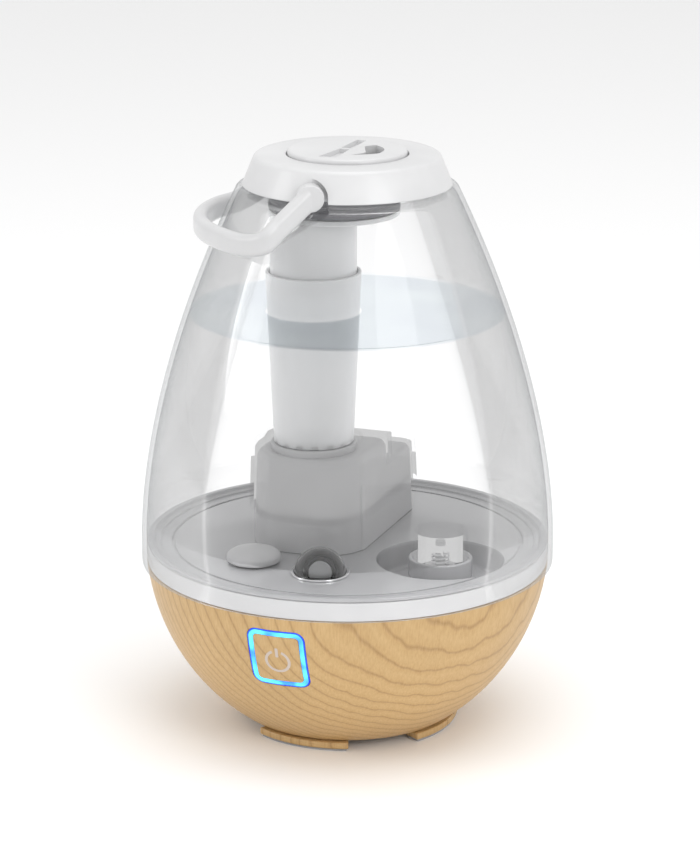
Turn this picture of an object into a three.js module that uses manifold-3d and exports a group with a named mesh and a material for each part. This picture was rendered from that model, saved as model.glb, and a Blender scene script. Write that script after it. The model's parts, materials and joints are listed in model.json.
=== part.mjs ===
// A cool mist humidifier: a wood-look bowl with the ultrasonic works, a clear egg-shaped tank that lifts off, a
// mist tube, and a white cap with a turning nozzle and a swing handle.
// Millimetres, +Z up. The feet stand on z = 0, the egg's axis is the Z axis, and the power button faces -Y.
import * as THREE from "three";
import { mergeVertices } from "three/addons/utils/BufferGeometryUtils.js";
import Module from "manifold-3d";

const wasm = await Module();
wasm.setup();

// ---- Driving dimensions ----
const GAP = 0.3; // between pieces that touch
const SLIDE_GAP = 0.4; // round each piece that lifts off or slides
const REST_GAP = 0.8; // round the handle's arms where they lie in the tank's shoulder

// Bowl: an ellipse of revolution
const TANK_RADIUS = 102.2; // the widest point of the whole, at the tank's skirt
const BOWL_STEP = 1.8; // the bowl's ellipse is this much narrower than the tank
const BOWL_RADIUS = TANK_RADIUS - BOWL_STEP;
const BOWL_BOTTOM_Z = 5;
const BOWL_RIM_Z = 82.8;
const WIDEST_RISE = 12.2; // from the bowl's rim to the widest level
const BOWL_WIDEST_Z = BOWL_RIM_Z + WIDEST_RISE;
const BOWL_TAIL = 16; // the ellipse would close this far below the bowl's bottom
const BOWL_DEPTH = BOWL_WIDEST_Z - BOWL_BOTTOM_Z + BOWL_TAIL; // its vertical half-axis
const BOTTOM_RADIUS = BOWL_RADIUS * Math.sqrt(1 - ((BOWL_DEPTH - BOWL_TAIL) / BOWL_DEPTH) ** 2);
const BOWL_WALL = 3;
const BOWL_FLOOR = 4.5;
const LEDGE_THICK = 3;
const BOTTOM_RIM = 9; // width of the bowl's bottom edge, round the bottom cover
const SERVICE_RADIUS = BOTTOM_RADIUS - BOTTOM_RIM;
const LEDGE_WIDTH = 10; // the ledge that the bottom cover screws to
const LEDGE_RADIUS = SERVICE_RADIUS - LEDGE_WIDTH;

// Feet
const FOOT_PROUD = 2.5; // beyond the bowl's bottom edge
const FOOT_OUTER = BOTTOM_RADIUS + FOOT_PROUD;
const FOOT_WIDTH = 9.5;
const FOOT_SPAN = 52; // degrees
const FOOT_TURN = -5; // degrees from the front to the first foot's middle
const PAD_THICK = 1;
const PAD_INSET = 1;
const FOOT_COUNT = 4;

// Bottom cover
const COVER_THICK = 1.2;
const SLOT_COUNT = 5;
const SLOT_LENGTH = 34;
const SLOT_WIDTH = 3;
const SLOT_PITCH = 8;
const SCREW_CIRCLE = SERVICE_RADIUS - LEDGE_WIDTH / 2;
const SCREW_RADIUS = 1.5;
const SCREW_HEAD = 2.8;
const SCREW_HEAD_HIGH = 1.5;
const SCREW_LENGTH = 4.4;

// Trim ring and water tray
const RING_WALL = 2.8;
const DECK_RISE = 9.2; // from the bowl's rim
const DECK_Z = BOWL_RIM_Z + DECK_RISE;
const RING_TOP_Z = DECK_Z + 0.4;
const DECK_THICK = 2.4;
const TRAY_LIP_HIGH = 1.8;
const GROOVE_INSET = 9.7; // from the tray's edge
const GROOVE_WIDTH = 1.6;
const GROOVE_DEPTH = 1.1;
const TERRACE_WIDTH = 3.4;
const TERRACE_HIGH = 1;
const WELL_RADIUS = 31;
const WELL_MARGIN = 9.1; // from the well to the tray's edge
const WELL_TURN = 74.35; // degrees from the front
const WELL_DEPTH = 12.5;
const TRAY_WALL = 2;

// Mist tower
const TOWER_RIGHT = 14.5;
const TOWER_LEFT = -43.8;
const TOWER_FRONT = -32.3;
const TOWER_BACK = 25;
const TOWER_CORNER = 22.5;
const TOWER_BACK_CORNER = 6;
const TOWER_HIGH = 47.5;
const TOWER_TOP_Z = DECK_Z + TOWER_HIGH;
const TOWER_WALL = 2;
const TOWER_TAPER = 0.045; // the share that the outline shrinks by at the top
const DUCT_LEFT = -24;
const DUCT_BACK = 61.7;
const DUCT_HIGH = 35;
const DUCT_TOP_Z = DECK_Z + DUCT_HIGH;
const DUCT_CORNER = 7;
const TUBE_X = -15.5;
const TUBE_Y = -5.8;
const COLLAR_INNER = 18;
const COLLAR_OUTER = 21.2;
const COLLAR_HIGH = 3.5;
const COLLAR_TOP_Z = TOWER_TOP_Z + COLLAR_HIGH;

// Ultrasonic chamber under the tower
const CHAMBER_RADIUS = 17;
const CHAMBER_DEPTH = 19.6;
const CHAMBER_FLOOR = 2.4;
const CHAMBER_PORT = 7;
const DISC_RADIUS = 10.5;
const DISC_THICK = 0.9;
const DISC_SEAL_THICK = 1.5;
const DISC_CLAMP_THICK = 2;

// Float
const FLOAT_X = -29.5;
const FLOAT_Y = -51;
const FLOAT_RADIUS = 13.2;
const FLOAT_RIM = 2.4;
const FLOAT_CROWN = 4.6;
const FLOAT_POST = 2.5;
const FLOAT_POST_HIGH = 5.5;

// Light dome
const DOME_X = 6.7;
const DOME_Y = -55.6;
const DOME_RADIUS = 12.6;
const DOME_WALL = 3.2;
const DOME_RING_WIDTH = 1.5;
const DOME_RING_HIGH = 0.9;

// Fan and its duct
const FAN_X = -5;
const FAN_Y = 42;
const FAN_SIDE = 44;
const FAN_DROP = 30; // from the deck to the fan's underside
const FAN_BOTTOM_Z = DECK_Z - FAN_DROP;
const FAN_HIGH = 16;
const FAN_BORE = 20.5;
const FAN_SWEEP = 19.4;
const FAN_HUB = 8;
const BLADE_COUNT = 7;
const BLADE_THICK = 1.2;
const BLADE_HIGH = 8;
const BLADE_PITCH = 38; // degrees
const SHAFT_RADIUS = 1.4;
const AIR_PORT_X = 24;
const AIR_PORT_Y = 20;
const AIR_PORT_HIGH = 12;
const AIR_PORT_WALL = 2;

// Control board
const BOARD_X = 76;
const BOARD_Y = 48;
const BOARD_THICK = 1.6;
const POST_HIGH = 8.5;
const BOARD_Z = BOWL_BOTTOM_Z + BOWL_FLOOR + POST_HIGH;
const BOARD_MIDDLE_Y = -6;
const POST_RADIUS = 3.2;
const POST_INSET = 3.6;
const BOARD_SCREW = 1;

// Power button, on the bowl's front
const BUTTON_DROP = 22.5; // from the bowl's rim
const BUTTON_Z = BOWL_RIM_Z - BUTTON_DROP;
const FRAME_WIDTH = 29;
const FRAME_HEIGHT = 32.4;
const FRAME_BAND = 2.6;
const FRAME_CORNER = 5;
const FRAME_DEEP = 8;
const BUTTON_DEEP = 3.5;
const BUTTON_TRAVEL = 1;
const SWITCH_SIDE = 6;
const SWITCH_HIGH = 1.6;

// Power inlet, at the back
const INLET_Z = 30;
const INLET_RADIUS = 6;
const INLET_BORE = 2.75;
const INLET_PIN = 1;
const INLET_DEEP = 15;
const INLET_RECESS = 3;

// Tank
const TANK_WALL = 2.4;
const TANK_SKIRT_Z = BOWL_WIDEST_Z; // the wall is straight below this
const TANK_HIGH = 176.7; // above its skirt
const TANK_TOP_Z = TANK_SKIRT_Z + TANK_HIGH;
const TANK_TOP_RADIUS = 53.4;
const EGG_POWER = 1.75;
const SHOULDER_THICK = 3;
const MOUTH_RADIUS = 40;
const FLOOR_RISE = 15; // from the deck to the tank floor's underside
const TANK_FLOOR_Z = DECK_Z + FLOOR_RISE;
const TANK_FLOOR_THICK = 2.4;
const HOOD_WALL = 2;
const HOOD_GAP = 1.2;

// Valve
const NECK_INNER = 11;
const NECK_OUTER = 13.4;
const NECK_BOTTOM_Z = DECK_Z - 4.5;
const CUP_WALL = 2;
const CUP_TOP_Z = DECK_Z + 1.5;
const CUP_BOTTOM_Z = DECK_Z - 8;
const CUP_FLOOR = 2;
const CUP_PORT = 6;
const STEM_RADIUS = 2.5;
const STEM_BOTTOM_Z = DECK_Z - 10.4;
const STEM_TOP_Z = DECK_Z + 10;
const VALVE_PLATE = 8;
const VALVE_PLATE_THICK = 1.4;
const VALVE_SEAL_THICK = 1;
const GUIDE_Z = DECK_Z + 4.5;
const GUIDE_HIGH = 3;
const GUIDE_WALL = 1.8;
const SPRING_WIRE = 0.45;
const SPRING_RADIUS = 4.4;
const SPRING_TURNS = 3;

// Mist tube
const TUBE_BOTTOM_RADIUS = 19.7;
const TUBE_JOIN_RADIUS = 23.5;
const TUBE_JOIN_DROP = 42.7; // from the tank's top
const TUBE_JOIN_Z = TANK_TOP_Z - TUBE_JOIN_DROP;
const TUBE_WALL = 1.6;
const UPPER_TUBE_RADIUS = 21.2;
const UPPER_TUBE_LAP = 8;
const FLANGE_X = -6;
const FLANGE_Y = -2;
const FLANGE_RADIUS = 32;
const FLANGE_THICK = 2.5;
const FLANGE_DROP = 11.7; // from the tank's top
const FLANGE_TOP_Z = TANK_TOP_Z - FLANGE_DROP;

// Cap
const CAP_STEP = 2.4; // the cap is this much narrower than the tank's top
const CAP_BOTTOM_RADIUS = TANK_TOP_RADIUS - CAP_STEP;
const CAP_SLOPE = 6.1; // how much the cap narrows as it goes up
const CAP_TOP_RADIUS = CAP_BOTTOM_RADIUS - CAP_SLOPE;
const CAP_HIGH = 15;
const CAP_TOP_Z = TANK_TOP_Z + GAP + CAP_HIGH;
const CAP_FILLET = 1.3;
const CAP_WALL = 3.2;
const CAP_PLATE = 2.6;
const NOTCH_RADIUS = 8.3;
const SEAL_WALL = 4.5;
const FUNNEL_WALL = 3;

// Nozzle
const NOZZLE_RADIUS = 29;
const NOZZLE_GAP = 0.7;
const NOZZLE_PROUD = 2.3;
const NOZZLE_TOP_Z = CAP_TOP_Z + NOZZLE_PROUD;
const NOZZLE_LEDGE = 2.5;
const NOZZLE_HUB = 20.6;
const NOZZLE_HUB_WALL = 1.2;
const NOZZLE_SNAP = 1.2;
const NOZZLE_SNAP_HIGH = 2;

// Handle: a bail on two pins, 130 degrees apart round the cap
const PIN_TURN = -130; // degrees round the cap from the front pin to the side pin
const PIN_INSET = 1; // from the cap's bottom edge
const PIN_CIRCLE = CAP_BOTTOM_RADIUS - PIN_INSET;
const PIN_RISE = 3; // from the cap's bottom edge
const PIN_Z = TANK_TOP_Z + GAP + PIN_RISE;
const PIN_RADIUS = 1.5;
const PIN_LENGTH = 13;
const ARM_THICK = 7;
const ARM_HIGH = 11;
const ARM_ROUND = 2.6;
const ARM_EYE = 6.6;
const SWING_ROOM = 0.9; // more room round the eyes and beside the arms in the tank's shoulder
const GRIP_DROP = 21.5; // from the pins to the grip's middle
const GRIP_Z = PIN_Z - GRIP_DROP;
const GRIP_CLEAR = 3.4; // from the tank to the grip, at the grip's lower edge
const CORNER_TURN = 51; // degrees round the tank from the grip's middle to a corner
const CORNER_PROUD = 2.6; // beyond the grip's circle

// ---- Solids ----
const RIM_SIDES = 32;
const PART_SIDES = 16;
const SMALL_SIDES = 8;
const WALL_STEPS = 4; // levels up the bowl
const TANK_STEPS = 6; // levels up the tank
const REACH = 400; // longer than any piece: for cutters

/** A closed manifold solid from a three.js geometry. */
function solid(geometry) {
  const bare = new THREE.BufferGeometry();
  bare.setAttribute("position", geometry.getAttribute("position"));
  if (geometry.index) bare.setIndex(geometry.index);
  const merged = mergeVertices(bare, 1e-4);
  const corners = merged.index.array;
  const kept = [];
  for (let i = 0; i < corners.length; i += 3) {
    const [a, b, c] = [corners[i], corners[i + 1], corners[i + 2]];
    if (a !== b && b !== c && c !== a) kept.push(a, b, c);
  }
  return new wasm.Manifold(
    new wasm.Mesh({
      numProp: 3,
      vertProperties: new Float32Array(merged.attributes.position.array),
      triVerts: new Uint32Array(kept),
    }),
  );
}

function join(...solids) {
  return solids.reduce((sum, next) => sum.add(next));
}

function cut(first, ...others) {
  return others.reduce((rest, next) => rest.subtract(next), first);
}

/** A solid of revolution about Z, from an outline of [radius, z] corners, at x, y. */
function turned(outline, sides, x = 0, y = 0) {
  let area = 0;
  outline.forEach(([r, z], i) => {
    const [nextR, nextZ] = outline[(i + 1) % outline.length];
    area += r * nextZ - nextR * z;
  });
  const ordered = area > 0 ? [...outline] : [...outline].reverse();
  const points = [...ordered, ordered[0]].map(([r, z]) => new THREE.Vector2(r, z));
  const geometry = new THREE.LatheGeometry(points, sides);
  geometry.rotateX(Math.PI / 2);
  geometry.translate(x, y, 0);
  return solid(geometry);
}

function disc(radius, low, high, x = 0, y = 0, sides = PART_SIDES) {
  const outline = [
    [0, low],
    [radius, low],
    [radius, high],
    [0, high],
  ];
  return turned(outline, sides, x, y);
}

function tube(inner, outer, low, high, x = 0, y = 0, sides = PART_SIDES) {
  const outline = [
    [inner, low],
    [outer, low],
    [outer, high],
    [inner, high],
  ];
  return turned(outline, sides, x, y);
}

function block(left, right, front, back, low, high) {
  const geometry = new THREE.BoxGeometry(right - left, back - front, high - low);
  geometry.translate((left + right) / 2, (front + back) / 2, (low + high) / 2);
  return solid(geometry);
}

function raised(shape, low, high, curveSegments = 2) {
  const geometry = new THREE.ExtrudeGeometry(shape, {
    depth: high - low,
    bevelEnabled: false,
    curveSegments,
  });
  geometry.translate(0, 0, low);
  return geometry;
}

/** A rectangle with its own radius at each corner: front left, front right, back right, back left. */
function roundedShape(left, right, front, back, radii) {
  const [a, b, c, d] = radii;
  const shape = new THREE.Shape();
  shape.moveTo(left + a, front);
  shape.absarc(right - b, front + b, b, -Math.PI / 2, 0, false);
  shape.absarc(right - c, back - c, c, 0, Math.PI / 2, false);
  shape.absarc(left + d, back - d, d, Math.PI / 2, Math.PI, false);
  shape.absarc(left + a, front + a, a, Math.PI, 1.5 * Math.PI, false);
  return shape;
}

function radians(degrees) {
  return (degrees * Math.PI) / 180;
}

/** A point on a circle about Z, turned from the front by an angle in degrees, towards +X. */
function around(radius, degrees) {
  return [radius * Math.sin(radians(degrees)), -radius * Math.cos(radians(degrees))];
}

// ---- Profiles that several pieces share ----
function bowlRadius(z, inset = 0) {
  const drop = (BOWL_WIDEST_Z - z) / BOWL_DEPTH;
  return BOWL_RADIUS * Math.sqrt(1 - drop * drop) - inset;
}

function tankRadius(z, inset = 0) {
  const rise = Math.max(0, (z - TANK_SKIRT_Z) / (TANK_TOP_Z - TANK_SKIRT_Z));
  return TANK_RADIUS - (TANK_RADIUS - TANK_TOP_RADIUS) * rise ** EGG_POWER - inset;
}

/** Heights along the bowl, closer together where its side curves in. */
function bowlLevels(low, high, count) {
  const angle = (z) => Math.asin((BOWL_WIDEST_Z - z) / BOWL_DEPTH);
  return Array.from({ length: count + 1 }, (_, i) => {
    const here = angle(low) + ((angle(high) - angle(low)) * i) / count;
    return BOWL_WIDEST_Z - BOWL_DEPTH * Math.sin(here);
  });
}

const TANK_SKIRT_BOTTOM_Z = BOWL_RIM_Z + SLIDE_GAP;
const TANK_INNER = TANK_RADIUS - TANK_WALL;
const RING_OUTER = TANK_INNER - SLIDE_GAP;
const RING_INNER = RING_OUTER - RING_WALL;
const TRAY_EDGE = RING_INNER - GAP;
const DECK_BOTTOM_Z = DECK_Z - DECK_THICK;
const GROOVE_RADIUS = TRAY_EDGE - GROOVE_INSET;
const [WELL_X, WELL_Y] = around(TRAY_EDGE - WELL_MARGIN - WELL_RADIUS, WELL_TURN);

/** Heights of the corners in the tank's side. */
const tankLevels = Array.from({ length: TANK_STEPS + 1 }, (_, i) => {
  return TANK_SKIRT_Z + (TANK_HIGH * i) / TANK_STEPS;
});

/** The tank's radius at a height, on the straight lines between those corners. */
function facetedTankRadius(z) {
  const above = tankLevels.findIndex((level) => level >= z);
  if (above <= 0) return TANK_RADIUS;
  const [low, high] = [tankLevels[above - 1], tankLevels[above]];
  const share = (z - low) / (high - low);
  return tankRadius(low) + (tankRadius(high) - tankRadius(low)) * share;
}

// ---- Base ----
// The button's axis: square to the bowl's side at the button's middle.
const buttonRadius = bowlRadius(BUTTON_Z);
const buttonFall = Math.atan(
  (((BOWL_WIDEST_Z - BUTTON_Z) / BOWL_DEPTH ** 2) * BOWL_RADIUS ** 2) / buttonRadius,
);

/** Places a piece made about +Z, with its top at z = 0, on the bowl's front, square to its side. */
function onFront(geometry) {
  geometry.rotateX(Math.PI / 2 + buttonFall);
  geometry.translate(0, -buttonRadius, BUTTON_Z);
  return geometry;
}

function frontPrism(inset, deep, proud = 4) {
  const halfWidth = FRAME_WIDTH / 2 - inset;
  const halfHeight = FRAME_HEIGHT / 2 - inset;
  const corner = Math.max(FRAME_CORNER - inset, 1);
  const shape = roundedShape(-halfWidth, halfWidth, -halfHeight, halfHeight, Array(4).fill(corner));
  return solid(onFront(raised(shape, -deep, proud, 2)));
}

function boardPosts() {
  const halfX = BOARD_X / 2 - POST_INSET;
  const halfY = BOARD_Y / 2 - POST_INSET;
  const places = [];
  for (const x of [-halfX, halfX]) {
    for (const y of [-halfY, halfY]) places.push([x, BOARD_MIDDLE_Y + y]);
  }
  return places;
}

const FLOOR_TOP_Z = BOWL_BOTTOM_Z + BOWL_FLOOR;

function baseShell() {
  const coverTop = BOWL_BOTTOM_Z + COVER_THICK;
  const floorRadius = bowlRadius(FLOOR_TOP_Z, BOWL_WALL);
  const outer = bowlLevels(BOWL_BOTTOM_Z, BOWL_RIM_Z, WALL_STEPS).map((z) => [bowlRadius(z), z]);
  const inner = bowlLevels(FLOOR_TOP_Z, BOWL_RIM_Z, WALL_STEPS).map((z) => [bowlRadius(z, BOWL_WALL), z]);
  inner[0] = [floorRadius, FLOOR_TOP_Z];
  const shell = turned(
    [
      [SERVICE_RADIUS, BOWL_BOTTOM_Z],
      ...outer,
      ...inner.reverse(),
      [LEDGE_RADIUS, FLOOR_TOP_Z],
      [LEDGE_RADIUS, FLOOR_TOP_Z - LEDGE_THICK],
      [SERVICE_RADIUS, coverTop + GAP],
    ],
    RIM_SIDES,
  );
  const posts = boardPosts().map(([x, y]) =>
    disc(POST_RADIUS, FLOOR_TOP_Z - 1, BOARD_Z - GAP, x, y, SMALL_SIDES),
  );
  const postHoles = boardPosts().map(([x, y]) =>
    disc(BOARD_SCREW + GAP, FLOOR_TOP_Z + 1, REACH, x, y, 8),
  );
  const coverHoles = screwPlaces().map(([x, y]) =>
    disc(SCREW_RADIUS + GAP, 0, FLOOR_TOP_Z + 1, x, y, SMALL_SIDES),
  );
  const inletHole = backCylinder(INLET_RADIUS + GAP, 0, REACH);
  const frame = frontPrism(-GAP, FRAME_DEEP + 6, 6);
  return cut(join(shell, ...posts), ...postHoles, ...coverHoles, inletHole, frame);
}

function screwPlaces() {
  return [45, 135, 225, 315].map((turn) => around(SCREW_CIRCLE, turn));
}

function arcBar(inner, outer, span, turn, low, high) {
  const middle = radians(turn) - Math.PI / 2;
  const half = radians(span) / 2;
  const shape = new THREE.Shape();
  shape.absarc(0, 0, outer, middle - half, middle + half, false);
  shape.absarc(0, 0, inner, middle + half, middle - half, true);
  return solid(raised(shape, low, high, 4));
}

function foot(turn) {
  const low = PAD_THICK + GAP;
  return arcBar(FOOT_OUTER - FOOT_WIDTH, FOOT_OUTER, FOOT_SPAN, turn, low, BOWL_BOTTOM_Z - GAP);
}

function footPad(turn) {
  const inner = FOOT_OUTER - FOOT_WIDTH + PAD_INSET;
  return arcBar(inner, FOOT_OUTER - PAD_INSET, FOOT_SPAN - 2, turn, 0, PAD_THICK);
}

function bottomCover() {
  const top = BOWL_BOTTOM_Z + COVER_THICK;
  const plate = disc(SERVICE_RADIUS - GAP, BOWL_BOTTOM_Z, top, 0, 0, RIM_SIDES);
  const slots = Array.from({ length: SLOT_COUNT }, (_, i) => {
    const y = (i - (SLOT_COUNT - 1) / 2) * SLOT_PITCH;
    const half = SLOT_LENGTH / 2;
    return block(-half, half, y - SLOT_WIDTH / 2, y + SLOT_WIDTH / 2, 0, top + 1);
  });
  const holes = screwPlaces().map(([x, y]) =>
    disc(SCREW_RADIUS + GAP, 0, top + 1, x, y, SMALL_SIDES),
  );
  return cut(plate, ...slots, ...holes);
}

function coverScrew([x, y]) {
  const headTop = BOWL_BOTTOM_Z - GAP;
  const outline = [
    [0, headTop - SCREW_HEAD_HIGH],
    [SCREW_HEAD, headTop - SCREW_HEAD_HIGH],
    [SCREW_HEAD, headTop],
    [SCREW_RADIUS, headTop],
    [SCREW_RADIUS, headTop + SCREW_LENGTH],
    [0, headTop + SCREW_LENGTH],
  ];
  return turned(outline, SMALL_SIDES, x, y);
}

function baseRing() {
  return tube(RING_INNER, RING_OUTER, BOWL_RIM_Z + GAP, RING_TOP_Z, 0, 0, RIM_SIDES);
}

function waterTray() {
  const edge = TRAY_EDGE;
  const lipBottom = RING_TOP_Z + GAP;
  const terrace = edge - TERRACE_WIDTH;
  const profile = [
    [0, DECK_BOTTOM_Z],
    [edge, DECK_BOTTOM_Z],
    [edge, lipBottom],
    [RING_OUTER, lipBottom],
    [RING_OUTER, lipBottom + TRAY_LIP_HIGH],
    [edge, lipBottom + TRAY_LIP_HIGH],
    [edge - 1, DECK_Z + TERRACE_HIGH],
    [terrace, DECK_Z + TERRACE_HIGH],
    [terrace, DECK_Z],
    [GROOVE_RADIUS + GROOVE_WIDTH / 2, DECK_Z],
    [GROOVE_RADIUS + GROOVE_WIDTH / 2, DECK_Z - GROOVE_DEPTH],
    [GROOVE_RADIUS - GROOVE_WIDTH / 2, DECK_Z - GROOVE_DEPTH],
    [GROOVE_RADIUS - GROOVE_WIDTH / 2, DECK_Z],
    [0, DECK_Z],
  ];
  const wellFloor = DECK_Z - WELL_DEPTH;
  const well = disc(WELL_RADIUS + TRAY_WALL, wellFloor - TRAY_WALL, DECK_BOTTOM_Z + 1, WELL_X, WELL_Y);
  const chamberFloor = DECK_BOTTOM_Z - CHAMBER_DEPTH;
  const chamber = disc(CHAMBER_RADIUS + TRAY_WALL, chamberFloor, DECK_BOTTOM_Z + 1, TUBE_X, TUBE_Y);
  const halfX = AIR_PORT_X / 2;
  const halfY = AIR_PORT_Y / 2;
  const riser = block(
    FAN_X - halfX,
    FAN_X + halfX,
    FAN_Y - halfY,
    FAN_Y + halfY,
    DECK_BOTTOM_Z,
    DECK_Z + AIR_PORT_HIGH,
  );
  const blank = join(turned(profile, RIM_SIDES), well, chamber, riser);
  const pushPost = disc(3, wellFloor - 1, STEM_BOTTOM_Z - GAP, WELL_X, WELL_Y, SMALL_SIDES);
  const hollowed = cut(
    blank,
    disc(WELL_RADIUS, wellFloor, REACH, WELL_X, WELL_Y),
    disc(CHAMBER_RADIUS, chamberFloor + CHAMBER_FLOOR, REACH, TUBE_X, TUBE_Y),
    disc(CHAMBER_PORT, 0, REACH, TUBE_X, TUBE_Y),
    block(
      FAN_X - halfX + AIR_PORT_WALL,
      FAN_X + halfX - AIR_PORT_WALL,
      FAN_Y - halfY + AIR_PORT_WALL,
      FAN_Y + halfY - AIR_PORT_WALL,
      0,
      REACH,
    ),
  );
  return join(hollowed, pushPost);
}

/** The tower's two outlines, both grown by the same margin. */
function towerBlocks(margin, low, topMargin) {
  const main = roundedShape(
    TOWER_LEFT - margin,
    TOWER_RIGHT + margin,
    TOWER_FRONT - margin,
    TOWER_BACK + margin,
    [
      TOWER_CORNER + margin,
      TOWER_CORNER + margin,
      Math.max(TOWER_BACK_CORNER + margin, 1),
      Math.max(TOWER_BACK_CORNER + margin, 1),
    ],
  );
  const duct = roundedShape(
    DUCT_LEFT - margin,
    TOWER_RIGHT + margin,
    TOWER_FRONT / 2,
    DUCT_BACK + margin,
    [1, 1, Math.max(DUCT_CORNER + margin, 1), Math.max(DUCT_CORNER + margin, 1)],
  );
  return join(
    solid(tapered(raised(main, low, TOWER_TOP_Z + topMargin))),
    solid(tapered(raised(duct, low, DUCT_TOP_Z + topMargin))),
  );
}

/** Draws a raised outline in towards the tower's middle as it goes up. */
function tapered(geometry) {
  const position = geometry.getAttribute("position");
  const middleX = (TOWER_LEFT + TOWER_RIGHT) / 2;
  const middleY = (TOWER_FRONT + TOWER_BACK) / 2;
  for (let i = 0; i < position.count; i += 1) {
    const rise = (position.getZ(i) - DECK_Z) / (TOWER_TOP_Z - DECK_Z);
    const scale = 1 - TOWER_TAPER * rise;
    position.setX(i, middleX + (position.getX(i) - middleX) * scale);
    position.setY(i, middleY + (position.getY(i) - middleY) * scale);
  }
  return geometry;
}

function mistHousing() {
  const collar = tube(COLLAR_INNER, COLLAR_OUTER, TOWER_TOP_Z - 1, COLLAR_TOP_Z, TUBE_X, TUBE_Y);
  const floorZ = DECK_Z + GAP;
  const hollow = towerBlocks(-TOWER_WALL, floorZ - 1, -TOWER_WALL);
  const bore = disc(COLLAR_INNER, TOWER_TOP_Z - 10, REACH, TUBE_X, TUBE_Y);
  return join(cut(towerBlocks(0, floorZ, 0), hollow, bore), collar);
}

function chamberStack() {
  const sealTop = DECK_BOTTOM_Z - CHAMBER_DEPTH - GAP;
  const discTop = sealTop - DISC_SEAL_THICK - GAP;
  const clampTop = discTop - DISC_THICK - GAP;
  return { sealTop, discTop, clampTop };
}

function transducerSeal() {
  const { sealTop } = chamberStack();
  return tube(CHAMBER_PORT, DISC_RADIUS, sealTop - DISC_SEAL_THICK, sealTop, TUBE_X, TUBE_Y);
}

function transducer() {
  const { discTop } = chamberStack();
  return disc(DISC_RADIUS, discTop - DISC_THICK, discTop, TUBE_X, TUBE_Y);
}

function transducerClamp() {
  const { clampTop } = chamberStack();
  const outer = CHAMBER_RADIUS + TRAY_WALL;
  return tube(CHAMBER_PORT + 1, outer, clampTop - DISC_CLAMP_THICK, clampTop, TUBE_X, TUBE_Y);
}

function floatPost() {
  const low = DECK_Z + GAP;
  return disc(FLOAT_POST, low, low + FLOAT_POST_HIGH, FLOAT_X, FLOAT_Y, SMALL_SIDES);
}

function floatDisc() {
  const low = DECK_Z + 1;
  const rim = low + FLOAT_RIM;
  const crown = Array.from({ length: 6 }, (_, i) => {
    const lean = ((i + 1) * Math.PI) / 12;
    return [FLOAT_RADIUS * Math.cos(lean), rim + FLOAT_CROWN * Math.sin(lean)];
  });
  crown[5][0] = 0;
  const holeTop = DECK_Z + GAP + FLOAT_POST_HIGH + SLIDE_GAP;
  const body = turned(
    [[0, low], [FLOAT_RADIUS - 0.8, low], [FLOAT_RADIUS, low + 0.8], [FLOAT_RADIUS, rim], ...crown],
    PART_SIDES,
    FLOAT_X,
    FLOAT_Y,
  );
  const hole = disc(FLOAT_POST + SLIDE_GAP, 0, holeTop, FLOAT_X, FLOAT_Y, SMALL_SIDES);
  return cut(body, hole);
}

/** Half a ball on the deck, as [radius, z] corners from its edge up to its top. */
function domeCorners(radius, low, steps) {
  return Array.from({ length: steps + 1 }, (_, i) => {
    const lean = (i * Math.PI) / 2 / steps;
    return [i === steps ? 0 : radius * Math.cos(lean), low + radius * Math.sin(lean)];
  });
}

function lightDome() {
  const low = DECK_Z + GAP;
  const outer = turned([[0, low], ...domeCorners(DOME_RADIUS, low, 5)], PART_SIDES, DOME_X, DOME_Y);
  const hollow = turned(
    [[0, low - 1], [DOME_RADIUS - DOME_WALL, low - 1], ...domeCorners(DOME_RADIUS - DOME_WALL, low, 4)],
    PART_SIDES,
    DOME_X,
    DOME_Y,
  );
  return cut(outer, hollow);
}

function lightCore() {
  const low = DECK_Z + GAP;
  const radius = DOME_RADIUS - DOME_WALL - GAP;
  return turned([[0, low], ...domeCorners(radius, low, 4)], PART_SIDES, DOME_X, DOME_Y);
}

function domeRing() {
  const low = DECK_Z + GAP;
  const inner = DOME_RADIUS + GAP;
  return tube(inner, inner + DOME_RING_WIDTH, low, low + DOME_RING_HIGH, DOME_X, DOME_Y);
}

// ---- Fan ----
function fanFrame() {
  const half = FAN_SIDE / 2;
  const high = FAN_BOTTOM_Z + FAN_HIGH;
  const shape = roundedShape(FAN_X - half, FAN_X + half, FAN_Y - half, FAN_Y + half, [4, 4, 4, 4]);
  const ring = cut(
    solid(raised(shape, FAN_BOTTOM_Z, high, 3)),
    disc(FAN_BORE, 0, REACH, FAN_X, FAN_Y),
  );
  const spokeTop = FAN_BOTTOM_Z + 2;
  const spokes = [
    block(FAN_X - half + 1, FAN_X + half - 1, FAN_Y - 1.5, FAN_Y + 1.5, FAN_BOTTOM_Z, spokeTop),
    block(FAN_X - 1.5, FAN_X + 1.5, FAN_Y - half + 1, FAN_Y + half - 1, FAN_BOTTOM_Z, spokeTop),
  ];
  const hub = disc(FAN_HUB, FAN_BOTTOM_Z, spokeTop, FAN_X, FAN_Y);
  const bearing = disc(SHAFT_RADIUS + GAP, 0, REACH, FAN_X, FAN_Y, SMALL_SIDES);
  return cut(join(ring, hub, ...spokes), bearing);
}

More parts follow.
